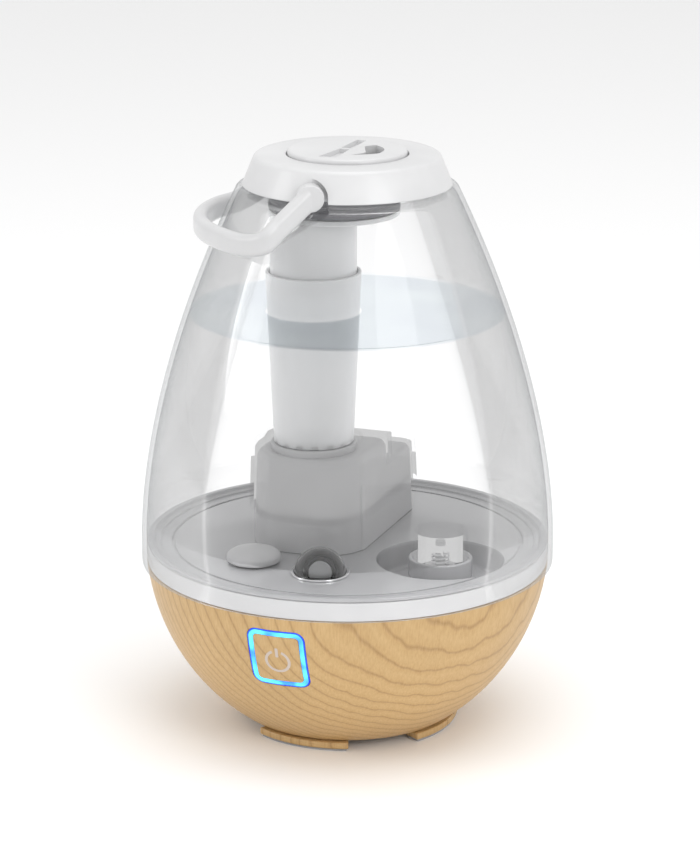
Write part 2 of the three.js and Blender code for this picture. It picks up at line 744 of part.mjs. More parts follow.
function fanRotor() {
  const low = FAN_BOTTOM_Z + 3;
  const high = FAN_BOTTOM_Z + FAN_HIGH - 1;
  const hub = disc(FAN_HUB, low, high, FAN_X, FAN_Y);
  const bladeLength = FAN_SWEEP - FAN_HUB + 2;
  const blades = Array.from({ length: BLADE_COUNT }, (_, i) => {
    const blade = new THREE.BoxGeometry(bladeLength, BLADE_THICK, BLADE_HIGH);
    blade.rotateX(radians(BLADE_PITCH));
    blade.translate(FAN_SWEEP - 0.6 - bladeLength / 2, 0, (low + high) / 2);
    blade.rotateZ((2 * Math.PI * i) / BLADE_COUNT);
    blade.translate(FAN_X, FAN_Y, 0);
    return solid(blade);
  });
  const bore = disc(SHAFT_RADIUS + GAP, 0, REACH, FAN_X, FAN_Y, SMALL_SIDES);
  return cut(join(hub, ...blades), bore);
}

function fanShaft() {
  const low = FAN_BOTTOM_Z - 2;
  return disc(SHAFT_RADIUS, low, FAN_BOTTOM_Z + FAN_HIGH - 1, FAN_X, FAN_Y, SMALL_SIDES);
}

function fanDuct() {
  const low = FAN_BOTTOM_Z + FAN_HIGH + GAP;
  const high = DECK_BOTTOM_Z - GAP;
  const half = FAN_SIDE / 2;
  const outer = block(FAN_X - half, FAN_X + half, FAN_Y - half, FAN_Y + half, low, high);
  const inner = disc(FAN_BORE, low - 1, high - AIR_PORT_WALL, FAN_X, FAN_Y);
  const halfX = AIR_PORT_X / 2 - AIR_PORT_WALL;
  const halfY = AIR_PORT_Y / 2 - AIR_PORT_WALL;
  const port = block(FAN_X - halfX, FAN_X + halfX, FAN_Y - halfY, FAN_Y + halfY, low, REACH);
  return cut(outer, inner, port);
}

// ---- Electrics ----
function controlBoard() {
  const halfX = BOARD_X / 2;
  const halfY = BOARD_Y / 2;
  const top = BOARD_Z + BOARD_THICK;
  const front = BOARD_MIDDLE_Y - halfY;
  const plate = block(-halfX, halfX, front, front + BOARD_Y, BOARD_Z, top);
  const parts = [
    block(-22, -6, BOARD_MIDDLE_Y - 10, BOARD_MIDDLE_Y + 8, top - 0.5, top + 12),
    block(4, 12, BOARD_MIDDLE_Y - 14, BOARD_MIDDLE_Y - 6, top - 0.5, top + 3),
    block(2, 24, BOARD_MIDDLE_Y + 8, BOARD_MIDDLE_Y + 16, top - 0.5, top + 5),
    disc(4, top - 0.5, top + 9, 22, BOARD_MIDDLE_Y - 4, SMALL_SIDES),
  ];
  const holes = boardPosts().map(([x, y]) => disc(BOARD_SCREW + GAP, 0, REACH, x, y, 8));
  return cut(join(plate, ...parts), ...holes);
}

function boardScrew([x, y]) {
  const headLow = BOARD_Z + BOARD_THICK + GAP;
  const outline = [
    [0, FLOOR_TOP_Z + 2],
    [BOARD_SCREW, FLOOR_TOP_Z + 2],
    [BOARD_SCREW, headLow],
    [BOARD_SCREW * 2, headLow],
    [BOARD_SCREW * 2, headLow + 1.2],
    [0, headLow + 1.2],
  ];
  return turned(outline, 12, x, y);
}

function lightRing() {
  const outer = frontPrism(0, FRAME_DEEP);
  const inner = frontPrism(FRAME_BAND, FRAME_DEEP + 1, 5);
  return cut(outer, inner).intersect(frontBand());
}

/** Everything inside the bowl's outer face, so that a prism cut by it is flush with the bowl. */
function frontBand() {
  const levels = bowlLevels(BOWL_BOTTOM_Z, BOWL_RIM_Z, WALL_STEPS);
  return turned(
    [[0, BOWL_BOTTOM_Z], ...levels.map((z) => [bowlRadius(z), z]), [0, BOWL_RIM_Z]],
    RIM_SIDES,
  );
}

function powerButton() {
  const face = frontPrism(FRAME_BAND + SLIDE_GAP, BUTTON_DEEP).intersect(frontBand());
  const stem = new THREE.CylinderGeometry(3, 3, 3, SMALL_SIDES);
  stem.rotateX(Math.PI / 2);
  stem.translate(0, 0, -BUTTON_DEEP - 0.1);
  return join(face, solid(onFront(stem)));
}

function buttonBoard() {
  const shape = roundedShape(-FRAME_WIDTH / 2, FRAME_WIDTH / 2, -FRAME_HEIGHT / 2, FRAME_HEIGHT / 2, [
    2, 2, 2, 2,
  ]);
  const high = -FRAME_DEEP - GAP;
  return solid(onFront(raised(shape, high - BOARD_THICK, high, 2)));
}

function buttonSwitch() {
  const low = -FRAME_DEEP;
  const half = SWITCH_SIDE / 2;
  const geometry = new THREE.BoxGeometry(2 * half, 2 * half, SWITCH_HIGH);
  geometry.translate(0, 0, low + SWITCH_HIGH / 2);
  return solid(onFront(geometry));
}

/** A cylinder along Y at the back of the bowl, at the inlet's height. */
function backCylinder(radius, front, back, sides = PART_SIDES) {
  const geometry = new THREE.CylinderGeometry(radius, radius, back - front, sides);
  geometry.translate(0, (front + back) / 2, INLET_Z);
  return solid(geometry);
}

function powerInlet() {
  const face = bowlRadius(INLET_Z) - INLET_RECESS;
  const body = backCylinder(INLET_RADIUS, face - INLET_DEEP, face);
  const bore = backCylinder(INLET_BORE, face - INLET_DEEP + 4, face + 1, SMALL_SIDES);
  const pin = backCylinder(INLET_PIN, face - INLET_DEEP + 3, face - 1, 12);
  return join(cut(body, bore), pin);
}

// ---- Tank ----
function tankShell() {
  const outer = tankLevels.map((z) => [tankRadius(z), z]);
  const innerTop = TANK_TOP_Z - SHOULDER_THICK;
  const inner = tankLevels
    .filter((z) => z < innerTop - 2)
    .map((z) => [tankRadius(z, TANK_WALL), z]);
  const skirt = [TANK_RADIUS, TANK_SKIRT_BOTTOM_Z];
  const wall = turned(
    [
      [TANK_INNER, TANK_SKIRT_BOTTOM_Z],
      skirt,
      ...outer,
      [MOUTH_RADIUS, TANK_TOP_Z],
      [MOUTH_RADIUS, innerTop],
      [facetedTankRadius(innerTop) - TANK_WALL, innerTop],
      ...inner.reverse(),
    ],
    RIM_SIDES,
  );
  const blank = turned([[0, TANK_SKIRT_BOTTOM_Z], skirt, ...outer, [0, TANK_TOP_Z]], RIM_SIDES);
  const mouth = disc(MOUTH_RADIUS, 0, REACH, 0, 0, RIM_SIDES);
  const recessWalls = [1, -1].map((side) => armRecess(side, REST_GAP + TANK_WALL));
  const recesses = [1, -1].map((side) => armRecess(side, REST_GAP));
  return cut(join(wall, ...recessWalls.map((made) => cut(made.intersect(blank), mouth))), ...recesses);
}

function tankFloor() {
  const top = TANK_FLOOR_Z + TANK_FLOOR_THICK;
  const edge = facetedTankRadius(top) - TANK_WALL - GAP;
  const plate = disc(edge, TANK_FLOOR_Z, top, 0, 0, RIM_SIDES);
  const outerMargin = HOOD_GAP + HOOD_WALL;
  const hood = towerBlocks(outerMargin, TANK_FLOOR_Z, outerMargin);
  const hoodHollow = towerBlocks(HOOD_GAP, TANK_FLOOR_Z - 10, HOOD_GAP);
  const crownRadius = COLLAR_OUTER + HOOD_GAP + HOOD_WALL;
  const crownTop = COLLAR_TOP_Z + GAP + HOOD_WALL;
  const crown = disc(crownRadius, TOWER_TOP_Z, crownTop, TUBE_X, TUBE_Y);
  const crownHollow = disc(COLLAR_OUTER + HOOD_GAP, TANK_FLOOR_Z, COLLAR_TOP_Z + GAP, TUBE_X, TUBE_Y);
  const tubeHole = disc(TUBE_BOTTOM_RADIUS + GAP, 0, REACH, TUBE_X, TUBE_Y);
  const neck = disc(NECK_OUTER, NECK_BOTTOM_Z, top, WELL_X, WELL_Y);
  const neckBore = disc(NECK_INNER, 0, REACH, WELL_X, WELL_Y);
  const guide = disc(STEM_RADIUS + SLIDE_GAP + GUIDE_WALL, GUIDE_Z, GUIDE_Z + GUIDE_HIGH, WELL_X, WELL_Y);
  const arms = [0, 60, 120].map((turn) => {
    const arm = new THREE.BoxGeometry(2 * NECK_INNER + 1, 1.6, GUIDE_HIGH);
    arm.rotateZ(radians(turn));
    arm.translate(WELL_X, WELL_Y, GUIDE_Z + GUIDE_HIGH / 2);
    return solid(arm);
  });
  const stemHole = disc(STEM_RADIUS + SLIDE_GAP, 0, REACH, WELL_X, WELL_Y, SMALL_SIDES);
  const shell = cut(join(plate, hood, crown, neck), hoodHollow, crownHollow, tubeHole, neckBore);
  return cut(join(shell, guide, ...arms), stemHole);
}

function valveCup() {
  const inner = NECK_OUTER + GAP;
  const outline = [
    [CUP_PORT, CUP_BOTTOM_Z],
    [inner + CUP_WALL, CUP_BOTTOM_Z],
    [inner + CUP_WALL, CUP_TOP_Z],
    [inner, CUP_TOP_Z],
    [inner, CUP_BOTTOM_Z + CUP_FLOOR],
    [CUP_PORT, CUP_BOTTOM_Z + CUP_FLOOR],
  ];
  return turned(outline, PART_SIDES, WELL_X, WELL_Y);
}

const VALVE_SEAL_LOW = CUP_BOTTOM_Z + CUP_FLOOR + GAP;
const VALVE_PLATE_LOW = VALVE_SEAL_LOW + VALVE_SEAL_THICK + GAP;

function valveSeal() {
  const high = VALVE_SEAL_LOW + VALVE_SEAL_THICK;
  return tube(CUP_PORT, VALVE_PLATE + 1.6, VALVE_SEAL_LOW, high, WELL_X, WELL_Y);
}

function valveStem() {
  const plateTop = VALVE_PLATE_LOW + VALVE_PLATE_THICK;
  const outline = [
    [0, STEM_BOTTOM_Z],
    [STEM_RADIUS, STEM_BOTTOM_Z],
    [STEM_RADIUS, VALVE_PLATE_LOW],
    [VALVE_PLATE, VALVE_PLATE_LOW],
    [VALVE_PLATE, plateTop],
    [STEM_RADIUS, plateTop],
    [STEM_RADIUS, STEM_TOP_Z - 0.8],
    [STEM_RADIUS - 0.8, STEM_TOP_Z],
    [0, STEM_TOP_Z],
  ];
  return turned(outline, SMALL_SIDES, WELL_X, WELL_Y);
}

function valveSpring() {
  const low = VALVE_PLATE_LOW + VALVE_PLATE_THICK + GAP + SPRING_WIRE;
  const high = GUIDE_Z - GAP - SPRING_WIRE;
  const steps = SPRING_TURNS * 8;
  const points = Array.from({ length: steps + 1 }, (_, i) => {
    const turn = (2 * Math.PI * SPRING_TURNS * i) / steps;
    const z = low + ((high - low) * i) / steps;
    return new THREE.Vector3(
      WELL_X + SPRING_RADIUS * Math.cos(turn),
      WELL_Y + SPRING_RADIUS * Math.sin(turn),
      z,
    );
  });
  const wire = new THREE.Shape();
  wire.absarc(0, 0, SPRING_WIRE, 0, 2 * Math.PI, false);
  const path = new THREE.CatmullRomCurve3(points);
  const options = { steps, extrudePath: path, curveSegments: 3, bevelEnabled: false };
  return solid(new THREE.ExtrudeGeometry(wire, options));
}

function mistTubeLower() {
  const low = COLLAR_TOP_Z + GAP;
  const outline = [
    [TUBE_BOTTOM_RADIUS - TUBE_WALL, low],
    [TUBE_BOTTOM_RADIUS, low],
    [TUBE_JOIN_RADIUS, TUBE_JOIN_Z],
    [TUBE_JOIN_RADIUS - TUBE_WALL, TUBE_JOIN_Z],
  ];
  return turned(outline, PART_SIDES, TUBE_X, TUBE_Y);
}

function mistTubeUpper() {
  const low = TUBE_JOIN_Z - UPPER_TUBE_LAP;
  const flange = disc(FLANGE_RADIUS, FLANGE_TOP_Z - FLANGE_THICK, FLANGE_TOP_Z, FLANGE_X, FLANGE_Y);
  const wall = disc(UPPER_TUBE_RADIUS, low, FLANGE_TOP_Z, TUBE_X, TUBE_Y);
  const bore = disc(UPPER_TUBE_RADIUS - TUBE_WALL, 0, REACH, TUBE_X, TUBE_Y);
  return cut(join(flange, wall), bore);
}

// ---- Cap ----
function capRadius(z) {
  const rise = (z - (TANK_TOP_Z + GAP)) / (CAP_TOP_Z - (TANK_TOP_Z + GAP));
  return CAP_BOTTOM_RADIUS - (CAP_BOTTOM_RADIUS - CAP_TOP_RADIUS) * rise;
}

/** The two ends of the line that the handle turns about, on the pins' circle. */
const [sidePinX, sidePinY] = around(PIN_CIRCLE, PIN_TURN);
const [frontPinX, frontPinY] = around(PIN_CIRCLE, 0);
const pinLine = new THREE.Vector2(frontPinX - sidePinX, frontPinY - sidePinY).normalize();
const pinMiddle = new THREE.Vector2((frontPinX + sidePinX) / 2, (frontPinY + sidePinY) / 2);
const outward = pinMiddle.clone().normalize();
const pinSpread = Math.hypot(frontPinX - sidePinX, frontPinY - sidePinY) / 2;

/** A place given along the pins' line, away from the egg's axis, and up. */
function handlePlace(along, away, z) {
  return new THREE.Vector3(
    pinLine.x * along + outward.x * away,
    pinLine.y * along + outward.y * away,
    z,
  );
}

/** A cylinder along the pins' line, between two distances from the handle's middle. */
function pinCylinder(radius, from, to, sides = SMALL_SIDES) {
  const geometry = new THREE.CylinderGeometry(radius, radius, Math.abs(to - from), sides);
  geometry.rotateZ(Math.atan2(pinLine.y, pinLine.x) - Math.PI / 2);
  const middle = handlePlace((from + to) / 2, pinMiddle.length(), PIN_Z);
  geometry.translate(middle.x, middle.y, middle.z);
  return solid(geometry);
}

const EYE_INNER = pinSpread - 3; // the eye's inner face, along the pins' line
const BOSS_THICK = 4;

function capShell() {
  const bottom = TANK_TOP_Z + GAP;
  const plateLow = CAP_TOP_Z - NOZZLE_LEDGE - CAP_PLATE;
  const ledge = CAP_TOP_Z - NOZZLE_LEDGE;
  const lip = NOZZLE_HUB + SLIDE_GAP;
  const shell = turned(
    [
      [lip, plateLow],
      [capRadius(plateLow) - CAP_WALL, plateLow],
      [CAP_BOTTOM_RADIUS - CAP_WALL, bottom],
      [CAP_BOTTOM_RADIUS, bottom],
      [capRadius(CAP_TOP_Z - CAP_FILLET), CAP_TOP_Z - CAP_FILLET],
      [CAP_TOP_RADIUS - CAP_FILLET * 0.3, CAP_TOP_Z - CAP_FILLET * 0.3],
      [CAP_TOP_RADIUS - CAP_FILLET, CAP_TOP_Z],
      [NOZZLE_RADIUS + NOZZLE_GAP, CAP_TOP_Z],
      [NOZZLE_RADIUS + NOZZLE_GAP, ledge],
      [lip, ledge],
    ],
    RIM_SIDES,
  );
  const blank = turned(
    [
      [0, bottom],
      [CAP_BOTTOM_RADIUS, bottom],
      [capRadius(CAP_TOP_Z - CAP_FILLET), CAP_TOP_Z - CAP_FILLET],
      [0, CAP_TOP_Z - CAP_FILLET],
    ],
    RIM_SIDES,
  );
  const bosses = [1, -1].map((side) => pinBoss(side, bottom, plateLow).intersect(blank));
  const notches = [1, -1].map((side) => {
    const from = side * (EYE_INNER - SLIDE_GAP);
    return pinCylinder(NOTCH_RADIUS, from, side * (pinSpread + 20), PART_SIDES);
  });
  const clearance = [1, -1].map((side) => {
    const middle = handlePlace(side * (EYE_INNER - SLIDE_GAP + 15), pinMiddle.length(), bottom);
    const slot = new THREE.BoxGeometry(30, 2 * NOTCH_RADIUS, 2 * (PIN_Z - bottom));
    slot.rotateZ(Math.atan2(pinLine.y, pinLine.x));
    slot.translate(middle.x, middle.y, bottom);
    return solid(slot);
  });
  const holes = [1, -1].map((side) => pinCylinder(PIN_RADIUS + GAP, 0, side * (pinSpread + 5)));
  return cut(join(cut(shell, ...notches, ...clearance), ...bosses), ...holes);
}

/** The block inside the cap that holds one pin. */
function pinBoss(side, bottom, plateLow) {
  const high = plateLow + 1;
  const low = bottom + 0.2;
  const boss = new THREE.BoxGeometry(BOSS_THICK, 2 * NOTCH_RADIUS + 3, high - low);
  boss.rotateZ(Math.atan2(pinLine.y, pinLine.x));
  const along = side * (EYE_INNER - SLIDE_GAP - BOSS_THICK / 2);
  const middle = handlePlace(along, pinMiddle.length(), (high + low) / 2);
  boss.translate(middle.x, middle.y, middle.z);
  return solid(boss);
}

function funnelSeal() {
  const inner = FLANGE_RADIUS - SEAL_WALL;
  const low = FLANGE_TOP_Z + SLIDE_GAP;
  return tube(inner, FLANGE_RADIUS, low, TANK_TOP_Z, FLANGE_X, FLANGE_Y);
}

function mistFunnel() {
  const high = CAP_TOP_Z - NOZZLE_LEDGE - CAP_PLATE - GAP;
  const inner = FLANGE_RADIUS - FUNNEL_WALL;
  const outer = FLANGE_RADIUS - 0.4;
  return tube(inner, outer, TANK_TOP_Z + GAP, high, FLANGE_X, FLANGE_Y);
}

function nozzle() {
  const discLow = CAP_TOP_Z - NOZZLE_LEDGE + GAP;
  const snapHigh = CAP_TOP_Z - NOZZLE_LEDGE - CAP_PLATE - SLIDE_GAP;
  const hubInner = NOZZLE_HUB - NOZZLE_HUB_WALL;
  const body = turned(
    [
      [hubInner, snapHigh - NOZZLE_SNAP_HIGH],
      [NOZZLE_HUB, snapHigh - NOZZLE_SNAP_HIGH],
      [NOZZLE_HUB + NOZZLE_SNAP, snapHigh],
      [NOZZLE_HUB, snapHigh],
      [NOZZLE_HUB, discLow],
      [NOZZLE_RADIUS, discLow],
      [NOZZLE_RADIUS, NOZZLE_TOP_Z - 0.9],
      [NOZZLE_RADIUS - 0.9, NOZZLE_TOP_Z - 0.2],
      [NOZZLE_RADIUS - 2, NOZZLE_TOP_Z],
      [0, NOZZLE_TOP_Z],
      [0, discLow],
      [hubInner, discLow],
    ],
    RIM_SIDES,
  );
  const outlet = new THREE.Shape();
  outlet.moveTo(6.7, -14.4);
  outlet.quadraticCurveTo(12, -9, 11.3, -4.9);
  outlet.quadraticCurveTo(8, 2, 6.1, 7.7);
  outlet.quadraticCurveTo(8, 12, 10.7, 12.1);
  outlet.quadraticCurveTo(18.5, 6, 18.5, -0.9);
  outlet.quadraticCurveTo(19, -6, 17.4, -7.8);
  outlet.quadraticCurveTo(12, -13, 6.7, -14.4);
  return cut(body, solid(raised(outlet, discLow - 1, REACH, 4)));
}

// ---- Handle ----
const gripRadius = tankRadius(GRIP_Z - ARM_HIGH / 2) + GRIP_CLEAR + ARM_THICK / 2;

/** A place on a circle round the tank, turned from the grip's middle by an angle in degrees. */
function gripPlace(radius, degrees) {
  const turn = radians(degrees);
  return handlePlace(radius * Math.sin(turn), radius * Math.cos(turn), GRIP_Z);
}

function armStart(side) {
  return handlePlace(side * (EYE_INNER + ARM_THICK / 2), pinMiddle.length(), PIN_Z);
}

function armEnd(side) {
  return gripPlace(gripRadius + CORNER_PROUD, side * CORNER_TURN);
}

/** Keeps a curve's section upright, with its first axis level. */
function keptUpright(curve) {
  const up = new THREE.Vector3(0, 0, 1);
  curve.computeFrenetFrames = (segments) => {
    const frames = { tangents: [], normals: [], binormals: [] };
    for (let i = 0; i <= segments; i += 1) {
      const tangent = curve.getTangentAt(i / segments);
      const normal = up.clone().cross(tangent).normalize();
      frames.tangents.push(tangent);
      frames.normals.push(normal);
      frames.binormals.push(tangent.clone().cross(normal));
    }
    return frames;
  };
  return curve;
}

function armSection(margin, sideRoom = 0) {
  const halfThick = ARM_THICK / 2 + margin + sideRoom;
  const halfHigh = ARM_HIGH / 2 + margin;
  return roundedShape(-halfThick, halfThick, -halfHigh, halfHigh, Array(4).fill(ARM_ROUND));
}

/** The space that one arm's end takes, grown by a margin, from its pin to where it leaves the tank. */
function armRecess(side, margin) {
  const start = armStart(side);
  const line = new THREE.LineCurve3(start, start.clone().lerp(armEnd(side), 0.7));
  const options = { steps: 1, extrudePath: keptUpright(line), curveSegments: 1, bevelEnabled: false };
  const section = armSection(margin, SWING_ROOM);
  const arm = solid(new THREE.ExtrudeGeometry(section, options));
  const from = EYE_INNER - margin;
  const radius = ARM_EYE + SWING_ROOM + margin;
  const eye = pinCylinder(radius, side * from, side * (from + ARM_THICK + 2 * margin), PART_SIDES);
  return join(arm, eye);
}

function handlePath() {
  const half = (side) => [
    armStart(side),
    ...[0.3, 0.6, 0.88].map((share) => armStart(side).lerp(armEnd(side), share)),
    ...[0.85, 0.6, 0.3].map((share) => gripPlace(gripRadius, side * CORNER_TURN * share)),
  ];
  return new THREE.CatmullRomCurve3([...half(1), gripPlace(gripRadius, 0), ...half(-1).reverse()]);
}

function handle() {
  const path = keptUpright(handlePath());
  const options = { steps: 24, extrudePath: path, curveSegments: 1, bevelEnabled: false };
  const bail = solid(new THREE.ExtrudeGeometry(armSection(0), options));
  const eyes = [1, -1].map((side) =>
    pinCylinder(ARM_EYE, side * EYE_INNER, side * (EYE_INNER + ARM_THICK), PART_SIDES),
  );
  const room = [1, -1].map((side) =>
    pinCylinder(NOTCH_RADIUS + 4, 0, side * EYE_INNER, PART_SIDES),
  );
  const holes = [1, -1].map((side) => pinCylinder(PIN_RADIUS + GAP, 0, side * (pinSpread + 1.5)));
  return cut(join(bail, ...eyes), ...room, ...holes);
}

function handlePin(side) {
  const outer = pinSpread + 1;
  return pinCylinder(PIN_RADIUS, side * (outer - PIN_LENGTH), side * outer);
}

// ---- The assembly ----
const looks = {
  wood: { color: 0xd9b878, roughness: 0.5, metalness: 0 },
  white: { color: 0xf1f1f1, roughness: 0.35, metalness: 0 },
  grey: { color: 0xa3a3a6, roughness: 0.25, metalness: 0 },
  dark: { color: 0x5c5c60, roughness: 0.5, metalness: 0 },
  clear: { color: 0xf3f6f8, roughness: 0.05, metalness: 0, transparent: true, opacity: 0.25 },
  frosted: { color: 0xe4e6e8, roughness: 0.4, metalness: 0, transparent: true, opacity: 0.7 },
  black: { color: 0x1b1b1d, roughness: 0.3, metalness: 0 },
  rubber: { color: 0x8b8b8e, roughness: 0.8, metalness: 0 },
  steel: { color: 0xb8babd, roughness: 0.3, metalness: 1 },
  board: { color: 0x1f6b3c, roughness: 0.6, metalness: 0 },
  glow: { color: 0x39b6ff, roughness: 0.3, metalness: 0 },
};

const humidifier = new THREE.Group();

function add(name, made, look) {
  const data = made.getMesh();
  const geometry = new THREE.BufferGeometry();
  geometry.setAttribute("position", new THREE.BufferAttribute(data.vertProperties, 3));
  geometry.setIndex(new THREE.BufferAttribute(data.triVerts, 1));
  geometry.computeVertexNormals();
  const mesh = new THREE.Mesh(geometry, new THREE.MeshStandardMaterial(looks[look]));
  mesh.name = name;
  humidifier.add(mesh);
}

add("base_shell", baseShell(), "wood");
for (let i = 0; i < FOOT_COUNT; i += 1) {
  const turn = FOOT_TURN + (360 * i) / FOOT_COUNT;
  add(`foot_${i + 1}`, foot(turn), "wood");
  add(`foot_pad_${i + 1}`, footPad(turn), "rubber");
}
add("bottom_cover", bottomCover(), "black");
screwPlaces().forEach((place, i) => add(`cover_screw_${i + 1}`, coverScrew(place), "steel"));
add("base_ring", baseRing(), "white");
add("water_tray", waterTray(), "grey");
add("mist_housing", mistHousing(), "white");
add("transducer_seal", transducerSeal(), "rubber");
add("transducer", transducer(), "steel");
add("transducer_clamp", transducerClamp(), "black");
add("float_post", floatPost(), "white");
add("float", floatDisc(), "white");
add("light_dome", lightDome(), "black");
add("light_core", lightCore(), "white");
add("light_dome_ring", domeRing(), "steel");
add("fan_frame", fanFrame(), "black");
add("fan_rotor", fanRotor(), "black");
add("fan_shaft", fanShaft(), "steel");
add("fan_duct", fanDuct(), "white");
add("control_board", controlBoard(), "board");
boardPosts().forEach((place, i) => add(`board_screw_${i + 1}`, boardScrew(place), "steel"));
add("light_ring", lightRing(), "glow");
add("power_button", powerButton(), "wood");
add("button_board", buttonBoard(), "board");
add("button_switch", buttonSwitch(), "black");
add("power_inlet", powerInlet(), "black");
add("tank_shell", tankShell(), "clear");
add("tank_floor", tankFloor(), "clear");
add("valve_cup", valveCup(), "grey");
add("valve_seal", valveSeal(), "rubber");
add("valve_stem", valveStem(), "grey");
add("valve_spring", valveSpring(), "steel");
add("mist_tube_lower", mistTubeLower(), "frosted");
add("mist_tube_upper", mistTubeUpper(), "frosted");
add("cap_shell", capShell(), "white");
add("mist_funnel", mistFunnel(), "white");
add("funnel_seal", funnelSeal(), "dark");
add("nozzle", nozzle(), "white");
add("handle", handle(), "white");
add("handle_pin_front", handlePin(1), "steel");
add("handle_pin_side", handlePin(-1), "steel");

export default humidifier;
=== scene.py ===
"""A cool mist humidifier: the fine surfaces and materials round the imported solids."""
import json
import math

import bpy
from mathutils import Matrix, Vector


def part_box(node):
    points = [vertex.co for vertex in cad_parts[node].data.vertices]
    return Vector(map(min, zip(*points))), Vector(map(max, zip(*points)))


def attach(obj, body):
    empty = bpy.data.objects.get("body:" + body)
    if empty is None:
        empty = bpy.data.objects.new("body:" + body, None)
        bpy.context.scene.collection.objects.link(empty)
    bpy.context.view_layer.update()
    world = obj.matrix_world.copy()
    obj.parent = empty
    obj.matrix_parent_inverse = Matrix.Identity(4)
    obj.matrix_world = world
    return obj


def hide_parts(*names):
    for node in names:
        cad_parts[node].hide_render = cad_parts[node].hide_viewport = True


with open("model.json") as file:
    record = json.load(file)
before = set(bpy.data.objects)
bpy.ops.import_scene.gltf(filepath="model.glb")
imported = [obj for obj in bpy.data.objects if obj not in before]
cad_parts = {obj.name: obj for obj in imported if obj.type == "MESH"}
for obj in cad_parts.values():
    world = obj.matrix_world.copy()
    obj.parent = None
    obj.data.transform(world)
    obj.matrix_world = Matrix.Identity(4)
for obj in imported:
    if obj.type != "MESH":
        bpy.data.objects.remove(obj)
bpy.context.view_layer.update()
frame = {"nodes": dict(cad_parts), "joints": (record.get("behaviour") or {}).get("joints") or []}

nodes = frame["nodes"]
MM = 0.001
FINE = 160  # sides of the large rounds
ROUND = 72  # sides of the small rounds


# ---- Places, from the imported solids, in millimetres ----
def span(node):
    """A node's lowest and highest corners, in millimetres."""
    low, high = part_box(node)
    return low * 1000, high * 1000


def middle(node):
    """The middle of a node in x and y."""
    low, high = span(node)
    return (low.x + high.x) / 2, (low.y + high.y) / 2


SHELL_LOW, SHELL_HIGH = span("base_shell")
TANK_LOW, TANK_HIGH = span("tank_shell")
RING_LOW, RING_HIGH = span("base_ring")
CAP_LOW, CAP_HIGH = span("cap_shell")
NOZZLE_LOW, NOZZLE_HIGH = span("nozzle")
TUBE_X, TUBE_Y = middle("mist_tube_lower")
WELL_X, WELL_Y = middle("valve_cup")
FLANGE_X, FLANGE_Y = middle("funnel_seal")

TANK_RADIUS = TANK_HIGH.x
TANK_TOP = TANK_HIGH.z
SKIRT = TANK_LOW.z + 11.8  # the wall is straight below this
TANK_TOP_RADIUS = 53.4
WALL = 2.4
EGG_POWER = 1.75
MOUTH_RADIUS = 40
BOWL_RIM = SHELL_HIGH.z
BOWL_BOTTOM = SHELL_LOW.z
BOWL_RADIUS = TANK_RADIUS - 1.8
BOWL_DEPTH = SKIRT - BOWL_BOTTOM + 16
DECK = RING_HIGH.z - 0.4
TRAY_EDGE = RING_HIGH.x - 2.8 - 0.3
CAP_BOTTOM_RADIUS = CAP_HIGH.x
CAP_SLOPE = 6.1  # how far its skirt leans in
CAP_TOP_RADIUS = CAP_BOTTOM_RADIUS - CAP_SLOPE
WATER_LEVEL = 209
# The renderer shows black behind many clear layers, so a clear layer past this many others is painted pale
# instead: painted light, a glow that stands in for the light behind.
DEEPEST_LAYER = 5.5


def bowl_radius(z, inset=0.0):
    """The bowl's outer radius at a height, less an inset."""
    drop = (SKIRT - z) / BOWL_DEPTH
    return BOWL_RADIUS * math.sqrt(1 - drop * drop) - inset


def tank_radius(z, inset=0.0):
    """The tank's outer radius at a height, less an inset: straight at the skirt, then egg-shaped."""
    rise = max(0.0, (z - SKIRT) / (TANK_TOP - SKIRT))
    return TANK_RADIUS - (TANK_RADIUS - TANK_TOP_RADIUS) * rise**EGG_POWER - inset


def steps(low, high, count):
    return [low + (high - low) * i / count for i in range(count + 1)]


# ---- Meshes ----
def new_piece(name, corners, faces, sharp=35):
    """A piece from corners in millimetres, smooth apart from its edges sharper than an angle in degrees."""
    mesh = bpy.data.meshes.new(name)
    mesh.from_pydata([Vector(c) * MM for c in corners], [], faces)
    mesh.validate()
    piece = bpy.data.objects.new(name, mesh)
    bpy.context.scene.collection.objects.link(piece)
    smooth(piece, sharp)
    return piece


def smooth(piece, sharp=35):
    piece.data.shade_smooth()
    piece.data.set_sharp_from_angle(angle=math.radians(sharp))


def filleted(outline, segments=5):
    """An outline of (r, z) or (r, z, fillet radius) corners, with each such corner rounded."""
    made = []
    count = len(outline)
    for i, corner in enumerate(outline):
        if len(corner) == 2 or corner[2] <= 0:
            made.append((corner[0], corner[1]))
            continue
        here = Vector(corner[:2])
        before = Vector(outline[i - 1][:2]) - here
        after = Vector(outline[(i + 1) % count][:2]) - here
        reach = min(corner[2], before.length * 0.49, after.length * 0.49)
        start, end = here + before.normalized() * reach, here + after.normalized() * reach
        for k in range(segments + 1):
            t = k / segments
            point = start * (1 - t) ** 2 + here * (2 * t * (1 - t)) + end * t * t
            made.append((point.x, point.y))
    return made


